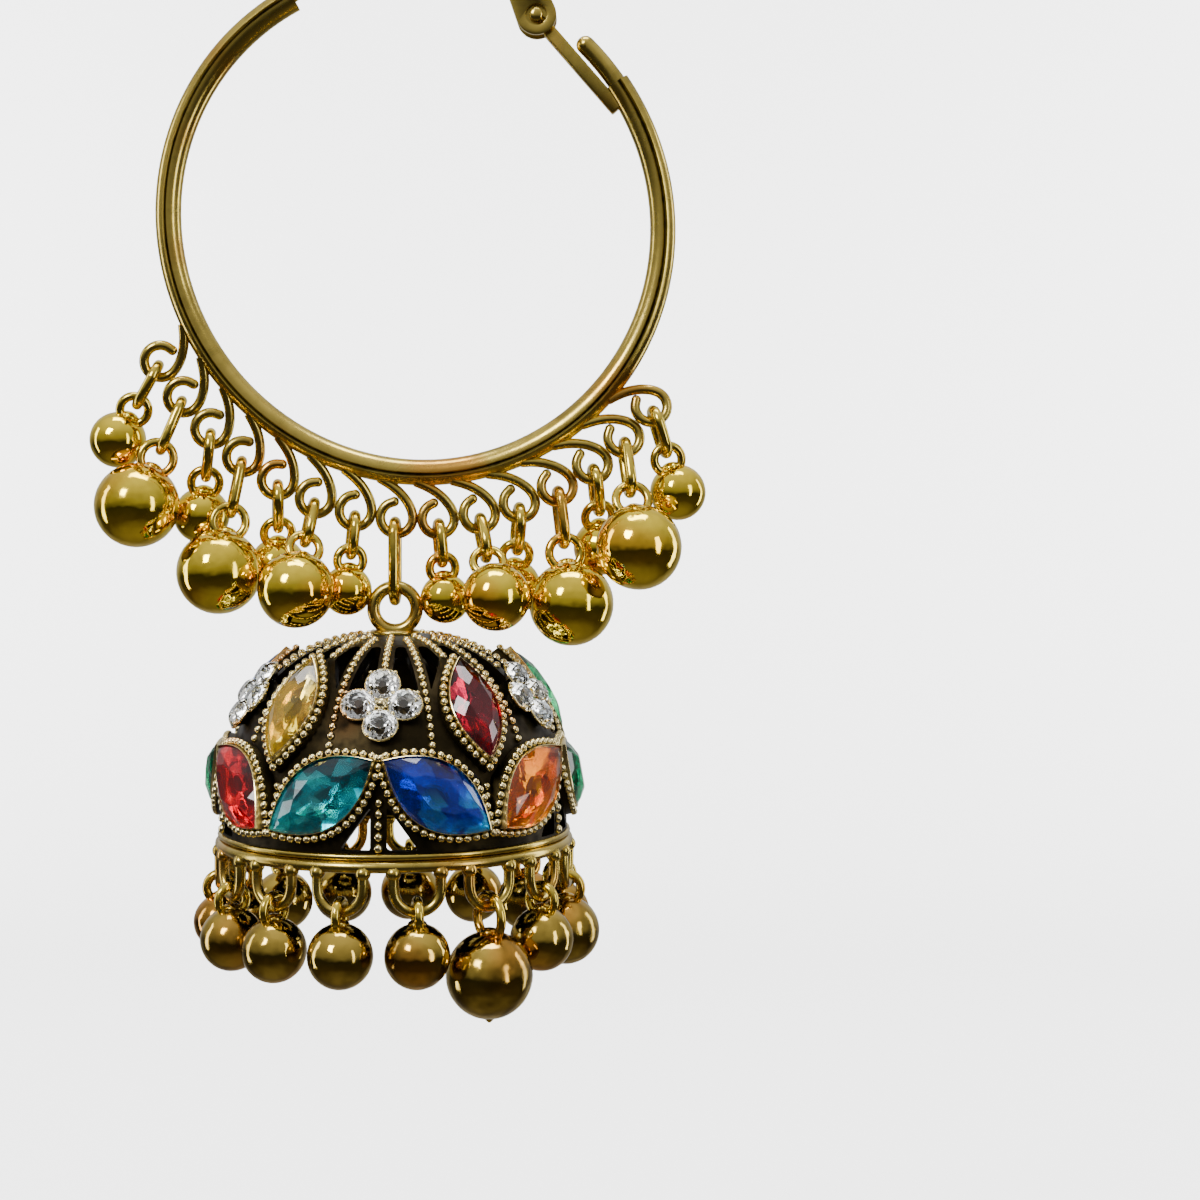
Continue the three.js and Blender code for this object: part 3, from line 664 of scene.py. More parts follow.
def make_hoop_drops(hoop_place, ball_metal, wire_metal):
    top = HOOK_WIRE_RADIUS + LINK_WIRE_RADIUS + PLAY
    for hook, (link_length, loop_radius, ball_radius), lean, back in HOOP_DROPS:
        link = coated(link_ring(LINK_HALF_WIDTH, LINK_WIRE_RADIUS, link_length), wire_metal)
        bottom = top - link_length + 2 * LINK_WIRE_RADIUS
        link.location.z = (top + bottom) / 2
        holder = bottom + LINK_WIRE_RADIUS + LOOP_WIRE_RADIUS - SINK
        if hook == CLOSE_DROP:
            ball_radius -= CLOSE_DROP_TRIM
        ball = ball_on_loop(holder, loop_radius, ball_radius, False, ball_metal, wire_metal)
        drop = joined([link, ball])
        place = hoop_place @ drop_place(hook, lean, back)
        name, solid = f"drop_{hook:02d}", f"hoop_drop_{hook:02d}"
        finished(drop, name, "hoop", [], [solid], place=place)


def make_rim_drops(dome_place, ball_metal, wire_metal):
    top = SCALLOP_WIRE_RADIUS + LOOP_WIRE_RADIUS + PLAY
    largest = max(size[1] for size in RIM_DROP_SIZES.values())
    for scallop in range(1, SCALLOP_COUNT + 1):
        loop_radius, ball_radius = RIM_DROP_SIZES.get(scallop, RIM_DROP)
        pointed = ball_radius == largest
        drop = ball_on_loop(top, loop_radius, ball_radius, True, ball_metal, wire_metal, pointed)
        azimuth = (scallop - 0.5) * 360 / SCALLOP_COUNT
        place = dome_place @ rim_frame(azimuth) @ Matrix.Translation((0, 0, -SCALLOP_FALL))
        name, solid = f"rim_ball_{scallop:02d}", f"rim_drop_{scallop:02d}"
        finished(drop, name, "jhumka", [], [solid], place=place)


def make_pendant_link(pivot, gold):
    link = link_ring(LINK_HALF_WIDTH, PENDANT_LINK_WIRE_RADIUS, PENDANT_LINK_LENGTH)
    low = pivot.z - PENDANT_LINK_WIRE_RADIUS
    place = Matrix.Translation((pivot.x, 0, low + PENDANT_LINK_LENGTH / 2))
    finished(link, "pendant_ring", "link", [gold], ["pendant_link"], place=place)


# Dome


def dome_radius_at(height):
    return DOME_RADIUS * (1 - (height / DOME_HEIGHT) ** DOME_POWER) ** (1 / DOME_POWER)


def dome_point(azimuth, height):
    radius = dome_radius_at(height)
    turn = radians(azimuth)
    return Vector((radius * math.sin(turn), -radius * math.cos(turn), height))


def dome_frame(azimuth, height):
    """X level to the right, Y up the dome, Z straight out of it."""
    turn = radians(azimuth)
    outward = dome_radius_at(height) ** (DOME_POWER - 1) / DOME_RADIUS**DOME_POWER
    upward = height ** (DOME_POWER - 1) / DOME_HEIGHT**DOME_POWER
    normal = Vector((outward * math.sin(turn), -outward * math.cos(turn), upward)).normalized()
    level = Vector((math.cos(turn), math.sin(turn), 0))
    return frame_of(level, normal.cross(level), normal, dome_point(azimuth, height))


def rim_frame(azimuth):
    return Matrix.Rotation(radians(azimuth), 4, "Z") @ Matrix.Translation((0, -DOME_RADIUS, 0))


def stone_frame(stone, azimuth):
    turn = -stone[4] if azimuth < 0 or azimuth % SECTOR > SECTOR / 2 else stone[4]
    return dome_frame(azimuth, stone[3] * DOME_HEIGHT) @ Matrix.Rotation(radians(turn), 4, "Z")


def stone_places():
    middles = [i * SECTOR for i in range(SECTORS)]
    lower = [(LOWER_STONE, middle + side * LOWER_STONE[2]) for middle in middles for side in (-1, 1)]
    return lower + [(UPPER_STONE, middle + UPPER_STONE[2]) for middle in middles]


def in_setting(point, border):
    """Whether a point on the dome lies inside a setting, or within a border round it."""
    for stone, azimuth in stone_places():
        local = stone_frame(stone, azimuth).inverted() @ point
        half_length = stone[0] / 2 + SETTING_BORDER * SETTING_POINT_BORDER + border
        half_width = stone[1] / 2 + SETTING_BORDER + border
        if local.z < FAR_SIDE or abs(local.x) >= half_length:
            continue
        if abs(local.y) < half_width * (1 - (local.x / half_length) ** 2):
            return True
    return False


def piercing_cutter(corners):
    """A prism through the wall, from corners given on the dome's surface."""
    points = [dome_point(azimuth, share * DOME_HEIGHT) for azimuth, share in corners]
    mean_azimuth = sum(azimuth for azimuth, share in corners) / len(corners)
    mean_share = sum(share for azimuth, share in corners) / len(corners)
    frame = dome_frame(mean_azimuth, mean_share * DOME_HEIGHT)
    bpy.ops.mesh.primitive_circle_add(vertices=len(corners), radius=1, fill_type="NGON")
    cutter = bpy.context.object
    for vertex, point in zip(cutter.data.vertices, points):
        flat = frame.inverted() @ point
        vertex.co = (flat.x, flat.y, -CUT_REACH)
    with reshaping(cutter):
        bpy.ops.mesh.bevel(offset=CUT_ROUNDING, segments=3, affect="VERTICES")
        bpy.ops.mesh.select_all(action="SELECT")
        extrude(2 * CUT_REACH)
    cutter.data.transform(frame)
    return cutter


def dome_shell():
    """The wall: a profile spun round, given its thickness and pierced."""
    heights = [DOME_HEIGHT * math.sin(radians(90 * step / DOME_RINGS)) for step in range(DOME_RINGS + 1)]
    profile = [(0, -dome_radius_at(height), height) for height in heights]
    shell = empty_piece()
    shell.data.from_pydata(profile, [(i, i + 1) for i in range(DOME_RINGS)], [])
    with reshaping(shell):
        bpy.ops.mesh.spin(steps=DOME_STEPS, angle=2 * math.pi, center=(0, 0, 0), axis=(0, 0, 1))
        bpy.ops.mesh.select_all(action="SELECT")
        bpy.ops.mesh.remove_doubles(threshold=0.01)
    modified(shell, "SOLIDIFY", thickness=DOME_WALL, offset=-1)
    cutter = joined([
        piercing_cutter([(sector * SECTOR + side * azimuth, share) for azimuth, share in corners])
        for sector in range(SECTORS) for corners in PIERCINGS for side in (-1, 1)
    ])
    modified(shell, "BOOLEAN", operation="DIFFERENCE", solver="EXACT", use_self=True, object=cutter)
    discard(cutter)
    return shell


def ring_points(length, width, height, sides, power=1, scale=1, turned=0):
    """A level ring of points: an ellipse at power 0, and pointed at both ends above that."""
    turns = [2 * math.pi * (step + turned) / sides for step in range(sides)]
    waist = [math.sin(t) * abs(math.sin(t)) ** power * scale * width / 2 for t in turns]
    return [(math.cos(t) * scale * length / 2, y, height) for t, y in zip(turns, waist)]


def depth_below(frame, x, y):
    """How far the dome's surface lies below a point of a setting's flat border."""
    deep, high = 6.0, -1.0
    for halving in range(24):
        middle = (deep + high) / 2
        point = frame @ Vector((x, y, -middle))
        reach = (math.hypot(point.x, point.y) / DOME_RADIUS) ** DOME_POWER
        reach += (max(point.z, 0) / DOME_HEIGHT) ** DOME_POWER
        if reach > 1:
            high = middle
        else:
            deep = middle
    return deep


def border_fall(frame, x, y):
    """How far a setting's border is let down towards the dome where that falls away."""
    return BORDER_FALL * max(0, depth_below(frame, x, y) - BORDER_LEVEL_DEPTH)


def setting(stone, azimuth):
    """A raised bezel round a marquise stone, with a flat border for its beads and a bright pocket."""
    length, width = stone[0], stone[1]
    outer = (length + 1.8 * SETTING_BORDER, width + 1.9 * SETTING_BORDER)
    rings = [
        (outer[0], outer[1], -SETTING_ROOT),
        (outer[0], outer[1], SETTING_RISE - 0.12),
        (outer[0] - 0.14, outer[1] - 0.12, SETTING_RISE),
        (length + 0.34, width + 0.26, SETTING_RISE),
        (length + 0.3, width + 0.22, STONE_GIRDLE + BEZEL_LIP * 0.8),
        (length + 0.16, width + 0.14, STONE_GIRDLE + BEZEL_LIP),
        (length + 0.06, width + 0.06, STONE_GIRDLE + BEZEL_LIP * 0.6),
        (length + 0.06, width + 0.06, STONE_GIRDLE - 0.15),
        (length * 0.5, width * 0.5, STONE_GIRDLE - STONE_BACK * 0.75),
        (length * 0.06, width * 0.06, STONE_GIRDLE - STONE_BACK - 0.1),
    ]
    sides = SETTING_SIDES
    points = [point for ring in rings for point in ring_points(*ring, sides)]
    frame = stone_frame(stone, azimuth)
    points[:sides] = [(x, y, min(z, -depth_below(frame, x, y) - 0.5)) for x, y, z in points[:sides]]
    border = slice(sides, 4 * sides)
    points[border] = [(x, y, z - border_fall(frame, x, y)) for x, y, z in points[border]]
    faces = []
    last = (len(rings) - 1) * sides
    for low in range(0, last, sides):
        for i in range(sides):
            j = (i + 1) % sides
            faces.append((low + i, low + j, low + sides + j, low + sides + i))
    faces.append(tuple(reversed(range(sides))))
    faces.append(tuple(last + i for i in range(sides)))
    piece = from_faces(points, faces)
    for face in piece.data.polygons:
        face.material_index = 0 if face.index < 7 * sides or face.index == last else 1
    # The root and flat border are marked for painted shade, with some oxide; the bezel's lip and pocket are
    # not.
    mark(piece, [1 if place < 4 * sides else 0 for place in range(len(points))])
    piece.data.transform(frame)
    return piece


def cut_stone(length, width, power, rings):
    """A faceted stone: the hull of rings, each given as scale, height, sides and part of a side turned."""
    stone = empty_piece()
    stone.data.from_pydata([
        point for scale, height, sides, turned in rings
        for point in ring_points(length, width, height, sides, power, scale, turned)
    ], [], [])
    with reshaping(stone):
        bpy.ops.mesh.convex_hull()
    return stone


def marquise_stone(length, width):
    return cut_stone(length, width, 0.8, [
        (1, STONE_GIRDLE, 24, 0),
        (1, STONE_GIRDLE - 0.08, 24, 0),
        (0.8, STONE_GIRDLE + STONE_CROWN * 0.52, 12, 0.5),
        (0.5, STONE_GIRDLE + STONE_CROWN, 8, 0),
        (0.55, STONE_GIRDLE - STONE_BACK * 0.55, 12, 0.5),
        (0.12, STONE_GIRDLE - STONE_BACK, 6, 0),
    ])


def round_stone():
    return cut_stone(2 * CLUSTER_STONE_RADIUS, 2 * CLUSTER_STONE_RADIUS, 0, [
        (1, CLUSTER_GIRDLE, 16, 0),
        (1, CLUSTER_GIRDLE - 0.06, 16, 0),
        (0.8, CLUSTER_GIRDLE + CLUSTER_STONE_RISE * 0.6, 8, 0.5),
        (0.55, CLUSTER_GIRDLE + CLUSTER_STONE_RISE, 8, 0),
        (0.5, CLUSTER_GIRDLE - CLUSTER_STONE_BACK * 0.6, 8, 0.5),
        (0.05, CLUSTER_GIRDLE - CLUSTER_STONE_BACK, 8, 0),
    ])


def bead_template(radius):
    """Two thirds of a small ball, closed below."""
    bead = round_ball(radius, 8, 6)
    choose(bead)
    bpy.ops.object.mode_set(mode="EDIT")
    bpy.ops.mesh.select_all(action="SELECT")
    bpy.ops.mesh.bisect(
        plane_co=(0, 0, -BEAD_CUT * radius), plane_no=(0, 0, 1), use_fill=True, clear_inner=True
    )
    bpy.ops.object.mode_set(mode="OBJECT")
    return bead


def bead_field(frames, radius):
    """Many beads as one mesh, one at each frame, with the bead's foot marked for painted shade."""
    template = bead_template(radius)
    corners = np.array([vertex.co for vertex in template.data.vertices])
    faces = [tuple(face.vertices) for face in template.data.polygons]
    # Painted shade: each bead's lower part, where it meets the wall, is darkened.
    painted_foot_shade = np.clip(0.8 - (corners[:, 2] / radius + BEAD_CUT) / 0.5, 0, 1)
    points = []
    loops = []
    for count, frame in enumerate(frames):
        turn = np.array(frame)
        points.append(corners @ turn[:3, :3].T + turn[:3, 3])
        loops.extend(tuple(i + count * len(corners) for i in face) for face in faces)
    field = from_faces(np.concatenate(points).tolist(), loops)
    mark(field, np.tile(painted_foot_shade, len(frames)))
    discard(template)
    return field


def rib_frames(azimuth, low, high, spacing):
    """Frames along a rib at the beads' spacing, between two shares of the dome's height."""
    fine = [low + (high - low) * step / 400 for step in range(401)]
    lengths = lengths_along([dome_point(azimuth, share * DOME_HEIGHT) for share in fine])
    count = int(lengths[-1] / spacing)
    shares = np.interp([spacing * (step + 0.5) for step in range(count)], lengths, fine)
    return [dome_frame(azimuth, share * DOME_HEIGHT) for share in shares]


def crystal_frames():
    """The cluster's number and the frame of each round stone, four to a cluster."""
    return [
        (
            cluster,
            dome_frame(cluster * SECTOR, CLUSTER_HEIGHT * DOME_HEIGHT)
            @ Matrix.Rotation(radians(around), 4, "Z")
            @ Matrix.Translation((CLUSTER_SPREAD, 0, 0)),
        )
        for cluster in range(SECTORS)
        for around in range(0, 360, 90)
    ]


def rib_beads():
    """Frames of the ribs' beads, without those that a setting or a crystal would cover."""
    crystals = [place.translation for cluster, place in crystal_frames()]
    frames = []
    for rib in range(360 // RIB_PITCH):
        azimuth = rib * RIB_PITCH
        low = LONG_RIB_FOOT if azimuth % SECTOR == SECTOR / 2 else RIB_FOOT
        frames += rib_frames(azimuth, low, RIB_TOPS[rib % 2], BEAD_SPACING)
    return [
        frame for frame in frames
        if not in_setting(frame.translation, BEAD_MARGIN)
        and all((frame.translation - crystal).length >= BEAD_TO_CRYSTAL for crystal in crystals)
    ]


def border_frames(stone, azimuth):
    """Frames along the flat border of a setting, at the border beads' spacing."""
    length = stone[0] + 2.4 * BORDER_BEAD_RADIUS + BORDER_BEAD_GAP
    width = stone[1] + 2 * BORDER_BEAD_RADIUS + BORDER_BEAD_GAP
    outline = [Vector(point) for point in ring_points(length, width, SETTING_RISE + BORDER_BEAD_RISE, 360)]
    lengths = lengths_along(outline + outline[:1])
    count = round(lengths[-1] / BORDER_BEAD_SPACING)
    places = np.interp([lengths[-1] * step / count for step in range(count)], lengths, range(361))
    frame = stone_frame(stone, azimuth)
    spots = [outline[int(place) % 360] for place in places]
    return [frame @ Matrix.Translation((x, y, z - border_fall(frame, x, y))) for x, y, z in spots]


def make_dome(dome_place, gold, dark_gold, foil):
    shell = dome_shell()
    finished(shell, "dome_shell", "jhumka", [dark_gold], ["dome"], angle=30, place=dome_place)
    bezels = joined([setting(stone, azimuth) for stone, azimuth in stone_places()])
    finished(bezels, "dome_settings", "jhumka", [gold, foil], angle=30, place=dome_place)
    borders = [frame for stone, azimuth in stone_places() for frame in border_frames(stone, azimuth)]
    posts = []
    for sector in range(SECTORS):
        posts += rib_frames(sector * SECTOR, *POST_SHARES, POST_BEAD_SPACING)
    for name, frames, radius in (
        ("dome_border_beads", borders, BORDER_BEAD_RADIUS),
        ("dome_rib_beads", rib_beads(), BEAD_RADIUS),
        ("dome_post_beads", posts, POST_BEAD_RADIUS),
    ):
        beads = bead_field(frames, radius)
        finished(beads, name, "jhumka", [gold], angle=60, place=dome_place)


def scallop_points():
    """A scalloped loop: a half circle below, with straight sides up to the rim."""
    wide = SCALLOP_HALF_WIDTH
    bend = wide - SCALLOP_FALL
    turns = [math.pi + math.pi * step / 8 for step in range(9)]
    curve = [Vector((wide * math.cos(turn), 0, bend + wide * math.sin(turn))) for turn in turns]
    left = [Vector((-wide, 0, 0)), Vector((-wide, 0, bend / 2))]
    return left + curve + [Vector((wide, 0, bend / 2)), Vector((wide, 0, 0))]


def make_rim(dome_place, gold):
    """The rim wires, the scalloped loops with their solder knobs, the bail and the crown below it."""
    height = UPPER_WIRE_HEIGHT
    pieces = [
        wire_ring(DOME_RADIUS, RIM_WIRE_RADIUS, 160, 16),
        wire_ring(dome_radius_at(height), UPPER_WIRE_RADIUS, 160, 10, location=(0, 0, height)),
    ]
    template = wire(scallop_points(), SCALLOP_BODY_RADIUS)
    for scallop in range(SCALLOP_COUNT):
        place = rim_frame((scallop + 0.5) * 360 / SCALLOP_COUNT)
        pieces.append(copied(template, place))
        for side in (-1, 1):
            spot = (side * SCALLOP_HALF_WIDTH, 0, -RIM_WIRE_RADIUS)
            knob = round_ball(KNOB_RADIUS, 14, 10, location=spot)
            bake_place(knob)
            knob.data.transform(place)
            pieces.append(knob)
    discard(template)
    bail_height = DOME_HEIGHT - BAIL_SINK + BAIL_WIRE_RADIUS + BAIL_RADIUS
    upright = (radians(90), 0, 0)
    bail = wire_ring(BAIL_RADIUS, BAIL_WIRE_RADIUS, 48, 16, location=(0, 0, bail_height), rotation=upright)
    crown = round_bar(CROWN_RADIUS, CROWN_HEIGHT, 40, location=(0, 0, DOME_HEIGHT + CROWN_RISE))
    modified(crown, "BEVEL", width=CROWN_EDGE, segments=3)
    whole = joined(pieces + [bail, crown])
    finished(whole, "rim_and_bail", "jhumka", [gold], place=dome_place)


def make_stones(dome_place, glasses):
    lower = marquise_stone(LOWER_STONE[0], LOWER_STONE[1])
    upper = marquise_stone(UPPER_STONE[0], UPPER_STONE[1])
    slots = {row["node"]: row["material_slot"] for row in frame["record"]["subparts"]}
    for place, (stone, azimuth) in enumerate(stone_places()):
        high = stone is UPPER_STONE
        solid = f"upper_stone_{place - 9:02d}" if high else f"lower_stone_{place + 1:02d}"
        gem = copied(upper if high else lower, dome_place @ stone_frame(stone, azimuth))
        # Painted light: each stone's colour brightens towards its lowest point.
        heights = np.array([vertex.co.z for vertex in gem.data.vertices])
        mark(gem, (heights.max() - heights) / np.ptp(heights), "painted_lower_light")
        slot = slots[solid]
        finished(gem, "gem_" + solid, "jhumka", [glasses[slot]], [solid], angle=0)
    discard(lower, upper)


def make_clusters(dome_place, gold, crystal, foil):
    """Round stones over foil cups, each in a thin collet with four prongs, and a bead between them."""
    template = round_stone()
    groups = {}
    cups, collets, prongs = [], [], []
    for cluster, place in crystal_frames():
        groups.setdefault(cluster, []).append(copied(template, dome_place @ place))
        bpy.ops.mesh.primitive_cone_add(
            vertices=8, radius1=CUP_FOOT_RADIUS, radius2=CLUSTER_STONE_RADIUS + CLUSTER_FIT, depth=CUP_DEPTH,
            location=(0, 0, CLUSTER_GIRDLE - CUP_FALL), end_fill_type="NOTHING",
        )
        cup = bpy.context.object
        bake_place(cup)
        modified(cup, "SOLIDIFY", thickness=CUP_WALL, offset=1)
        cup.data.transform(dome_place @ place)
        cups.append(cup)
        low = (0, 0, CLUSTER_GIRDLE - COLLET_FALL)
        collet = wire_ring(CLUSTER_STONE_RADIUS - CLUSTER_FIT, COLLET_WIRE_RADIUS, 32, 10, location=low)
        bake_place(collet)
        collet.data.transform(place)
        collets.append(collet)
        for around in (45, 135, 225, 315):
            turn = radians(around)
            reach = CLUSTER_STONE_RADIUS + CLUSTER_FIT
            spot = (reach * math.cos(turn), reach * math.sin(turn), CLUSTER_GIRDLE + CLUSTER_FIT)
            prongs.append(place @ Matrix.Translation(spot))
    discard(template)
    for cluster, stones in groups.items():
        name, solid = f"crystals_{cluster + 1}", f"crystal_cluster_{cluster + 1}"
        finished(joined(stones), name, "jhumka", [crystal], [solid], angle=0)
    finished(joined(cups), "crystal_cups", "jhumka", [foil], angle=0)
    grips = bead_field(prongs, PRONG_RADIUS)
    lifted = Matrix.Translation((0, 0, CLUSTER_GIRDLE))
    centres = [dome_frame(i * SECTOR, CLUSTER_HEIGHT * DOME_HEIGHT) @ lifted for i in range(SECTORS)]
    metal = joined(collets + [grips, bead_field(centres, CLUSTER_BEAD_RADIUS)])
    finished(metal, "crystal_collets", "jhumka", [gold], angle=60, place=dome_place)


# Materials


def feed(tree, made, sockets):
    """Gives a node's sockets their values, or joins them to other nodes' outputs."""
    for key, value in sockets.items():
        if isinstance(value, bpy.types.NodeSocket):
            tree.links.new(value, made.inputs[key])
        else:
            made.inputs[key].default_value = value


def node(tree, kind, sockets=None, **settings):
    made = tree.nodes.new(kind)
    for key, value in settings.items():
        setattr(made, key, value)
    feed(tree, made, sockets or {})
    return made


def ramp(tree, factor, stops):
    made = node(tree, "ShaderNodeValToRGB", {"Fac": factor})
    elements = made.color_ramp.elements
    while len(elements) < len(stops):
        elements.new(0.5)
    for element, (place, colour) in zip(elements, stops):
        element.position = place
        element.color = (*colour, 1)
    return made.outputs["Color"]


def new_material(name):
    material = bpy.data.materials.new(name)
    material.use_nodes = True
    return material, material.node_tree, material.node_tree.nodes["Principled BSDF"]


def antique_group():
    """Metal darkened in its hollows by painted shade with some oxide, with soft cloudy tarnish and a little
    copper.
    """
    group = bpy.data.node_groups.new("antique finish", "ShaderNodeTree")
    for name, kind, start in (
        ("Metal", "Color", (0.7, 0.5, 0.2, 1)),
        ("Dark", "Color", (0.04, 0.03, 0.015, 1)),
        ("Cloud Scale", "Float", 400.0),
        ("Cloud Amount", "Float", 0.5),
        ("Smooth", "Float", 0.22),
        ("Rough", "Float", 0.5),
    ):
        socket = group.interface.new_socket(name=name, in_out="INPUT", socket_type="NodeSocket" + kind)
        socket.default_value = start
    for name, kind in (("Color", "Color"), ("Roughness", "Float"), ("Height", "Float")):
        group.interface.new_socket(name=name, in_out="OUTPUT", socket_type="NodeSocket" + kind)
    given = node(group, "NodeGroupInput").outputs
    place = node(group, "ShaderNodeTexCoord").outputs["Object"]
    cloud = node(group, "ShaderNodeTexNoise", {
        "Vector": place, "Scale": given["Cloud Scale"], "Detail": 2, "Roughness": 0.6,
    }).outputs["Fac"]
    spread = node(group, "ShaderNodeMapRange", {"Value": cloud, "From Min": 0.42, "From Max": 0.72})
    amount = node(group, "ShaderNodeMath", {
        0: spread.outputs["Result"], 1: given["Cloud Amount"],
    }, operation="MULTIPLY")
    # Painted shade, with some oxide, from the marked hollows, added to the tarnish clouds.
    painted_shade_and_oxide = node(group, "ShaderNodeAttribute", attribute_name="painted_shade_and_oxide")
    tarnish_and_painted_shade = node(group, "ShaderNodeMath", {
        0: amount.outputs[0], 1: painted_shade_and_oxide.outputs["Fac"],
    }, operation="ADD", use_clamp=True).outputs[0]
    copper_cloud = node(group, "ShaderNodeTexNoise", {"Vector": place, "Scale": 160, "Detail": 0})
    copper_mask = node(group, "ShaderNodeMapRange", {
        "Value": copper_cloud.outputs["Fac"], "From Min": 0.55, "From Max": 0.75, "To Max": 0.8,
    })
    copper = node(group, "ShaderNodeMix", {
        "Factor": copper_mask.outputs["Result"], "A": given["Metal"], "B": (1.1, 0.72, 0.6, 1),
    }, data_type="RGBA", blend_type="MULTIPLY")
    # Tarnish and painted shade mix the metal towards the Dark colour.
    colour = node(group, "ShaderNodeMix", {
        "Factor": tarnish_and_painted_shade, "A": copper.outputs["Result"], "B": given["Dark"],
    }, data_type="RGBA")
    rough = node(group, "ShaderNodeMapRange", {
        "Value": tarnish_and_painted_shade, "To Min": given["Smooth"], "To Max": given["Rough"],
    })
    node(group, "NodeGroupOutput", {
        "Color": colour.outputs["Result"], "Roughness": rough.outputs["Result"], "Height": cloud,
    })
    return group


def antique_material(name, group, metal, dark, cloud_scale, cloud_amount, smooth, rough, bump):
    material, tree, shader = new_material(name)
    finish = node(tree, "ShaderNodeGroup", {
        "Metal": (*metal, 1), "Dark": (*dark, 1), "Cloud Scale": cloud_scale, "Cloud Amount": cloud_amount,
        "Smooth": smooth, "Rough": rough,
    }, node_tree=group).outputs
    relief = node(tree, "ShaderNodeBump", {"Height": finish["Height"], "Strength": 1, "Distance": bump})
    feed(tree, shader, {
        "Base Color": finish["Color"], "Metallic": 1, "Roughness": finish["Roughness"],
        "Normal": relief.outputs["Normal"],
    })
    return material


def foil_material():
    """Bright foil, tilted this way and that like the back of a cut stone."""
    material, tree, shader = new_material("silver foil")
    place = node(tree, "ShaderNodeTexCoord").outputs["Object"]
    facets = node(tree, "ShaderNodeTexVoronoi", {"Vector": place, "Scale": 750}, feature="F1")
    tilt = node(tree, "ShaderNodeBump", {
        "Height": facets.outputs["Distance"], "Strength": 1, "Distance": 0.0009,
    })
    feed(tree, shader, {
        "Base Color": (0.72, 0.73, 0.72, 1), "Metallic": 1, "Roughness": 0.12,
        "Normal": tilt.outputs["Normal"],
    })
    return material


def glass_material(name, deep, middle, bright):
    """Foil-backed glass: clear colour with painted facets of light and shade standing for the foil's
    reflections, and painted light towards its lower end.
    """
    material, tree, shader = new_material(name)
    place = node(tree, "ShaderNodeTexCoord").outputs["Object"]
    # Painted reflections: each cell is a facet of light or shade that the foil would throw back.
    facets = node(tree, "ShaderNodeTexVoronoi", {"Vector": place, "Scale": 620}, feature="F1")
    split = node(tree, "ShaderNodeSeparateColor", {"Color": facets.outputs["Color"]})
    # Painted light: the lower end of each stone comes out brighter.
    painted_lower_light = node(tree, "ShaderNodeAttribute", attribute_name="painted_lower_light")
    light = node(tree, "ShaderNodeMix", {
        "Factor": 0.5, "A": split.outputs["Red"], "B": painted_lower_light.outputs["Fac"],
    }, data_type="FLOAT").outputs["Result"]
    feed(tree, shader, {
        "Base Color": ramp(tree, light, [(0.22, deep), (0.5, middle), (0.66, middle), (0.82, bright)]),
        "Metallic": 0, "Roughness": 0.03, "IOR": 1.52, "Transmission Weight": 0.9,
    })
    return material


def crystal_material():
    material, tree, shader = new_material("clear crystal")
    place = node(tree, "ShaderNodeTexCoord").outputs["Object"]
    tint = node(tree, "ShaderNodeTexNoise", {"Vector": place, "Scale": 350})
    shades = ramp(tree, tint.outputs["Fac"], [
        (0.35, (0.86, 0.92, 0.98)), (0.55, (0.97, 0.98, 0.97)), (0.7, (0.99, 0.96, 0.86)),
    ])
    feed(tree, shader, {"Base Color": shades, "Roughness": 0.02, "IOR": 1.75, "Transmission Weight": 1})
    return material


# Metals: colour, colour of tarnish and of painted shade with some oxide in hollows, scale and amount of the
# clouds, roughness when clean and where tarnished or shaded, relief
METALS = {
    "aged gold": ((0.62, 0.46, 0.10), (0.05, 0.036, 0.006), 420, 0.5, 0.2, 0.45, 0.00002),
    "bead gold": ((0.86, 0.72, 0.36), (0.03, 0.022, 0.008), 500, 0.2, 0.16, 0.5, 0.00001),
    "oxidised gold": ((0.022, 0.016, 0.007), (0.006, 0.005, 0.003), 600, 0.8, 0.4, 0.65, 0.00003),
    "bright wire": ((0.76, 0.56, 0.09), (0.10, 0.07, 0.01), 500, 0.4, 0.14, 0.35, 0.00004),
    "ball gold": ((0.95, 0.70, 0.06), (0.40, 0.26, 0.02), 420, 0.5, 0.07, 0.24, 0.00011),
    "brown gold": ((0.55, 0.38, 0.07), (0.13, 0.08, 0.015), 420, 0.8, 0.08, 0.28, 0.00013),
}

# Glass: its colour in painted shade, between, and in painted highlight
GLASS = {
    "teal_stone": ((0.0, 0.04, 0.06), (0.0, 0.34, 0.42), (0.10, 0.85, 0.90)),
    "sapphire_stone": ((0.0, 0.003, 0.09), (0.003, 0.05, 0.50), (0.05, 0.52, 1.0)),
    "orange_stone": ((0.13, 0.02, 0.0), (0.50, 0.12, 0.0), (0.95, 0.42, 0.0)),
    "emerald_stone": ((0.0, 0.015, 0.006), (0.0, 0.08, 0.03), (0.01, 0.30, 0.11)),
    "garnet_stone": ((0.04, 0.0, 0.006), (0.26, 0.0, 0.018), (0.80, 0.0, 0.04)),
    "amber_stone": ((0.18, 0.08, 0.005), (0.55, 0.30, 0.015), (0.92, 0.68, 0.10)),
    "red_stone": ((0.04, 0.0, 0.002), (0.28, 0.0, 0.004), (0.72, 0.0, 0.012)),
    "crimson_stone": ((0.04, 0.0, 0.005), (0.24, 0.0, 0.012), (0.66, 0.0, 0.03)),
    "green_stone": ((0.0, 0.02, 0.006), (0.0, 0.12, 0.035), (0.02, 0.36, 0.12)),
    "pale_yellow_stone": ((0.26, 0.21, 0.07), (0.64, 0.45, 0.04), (0.98, 0.70, 0.02)),
}


# Light, floor and camera


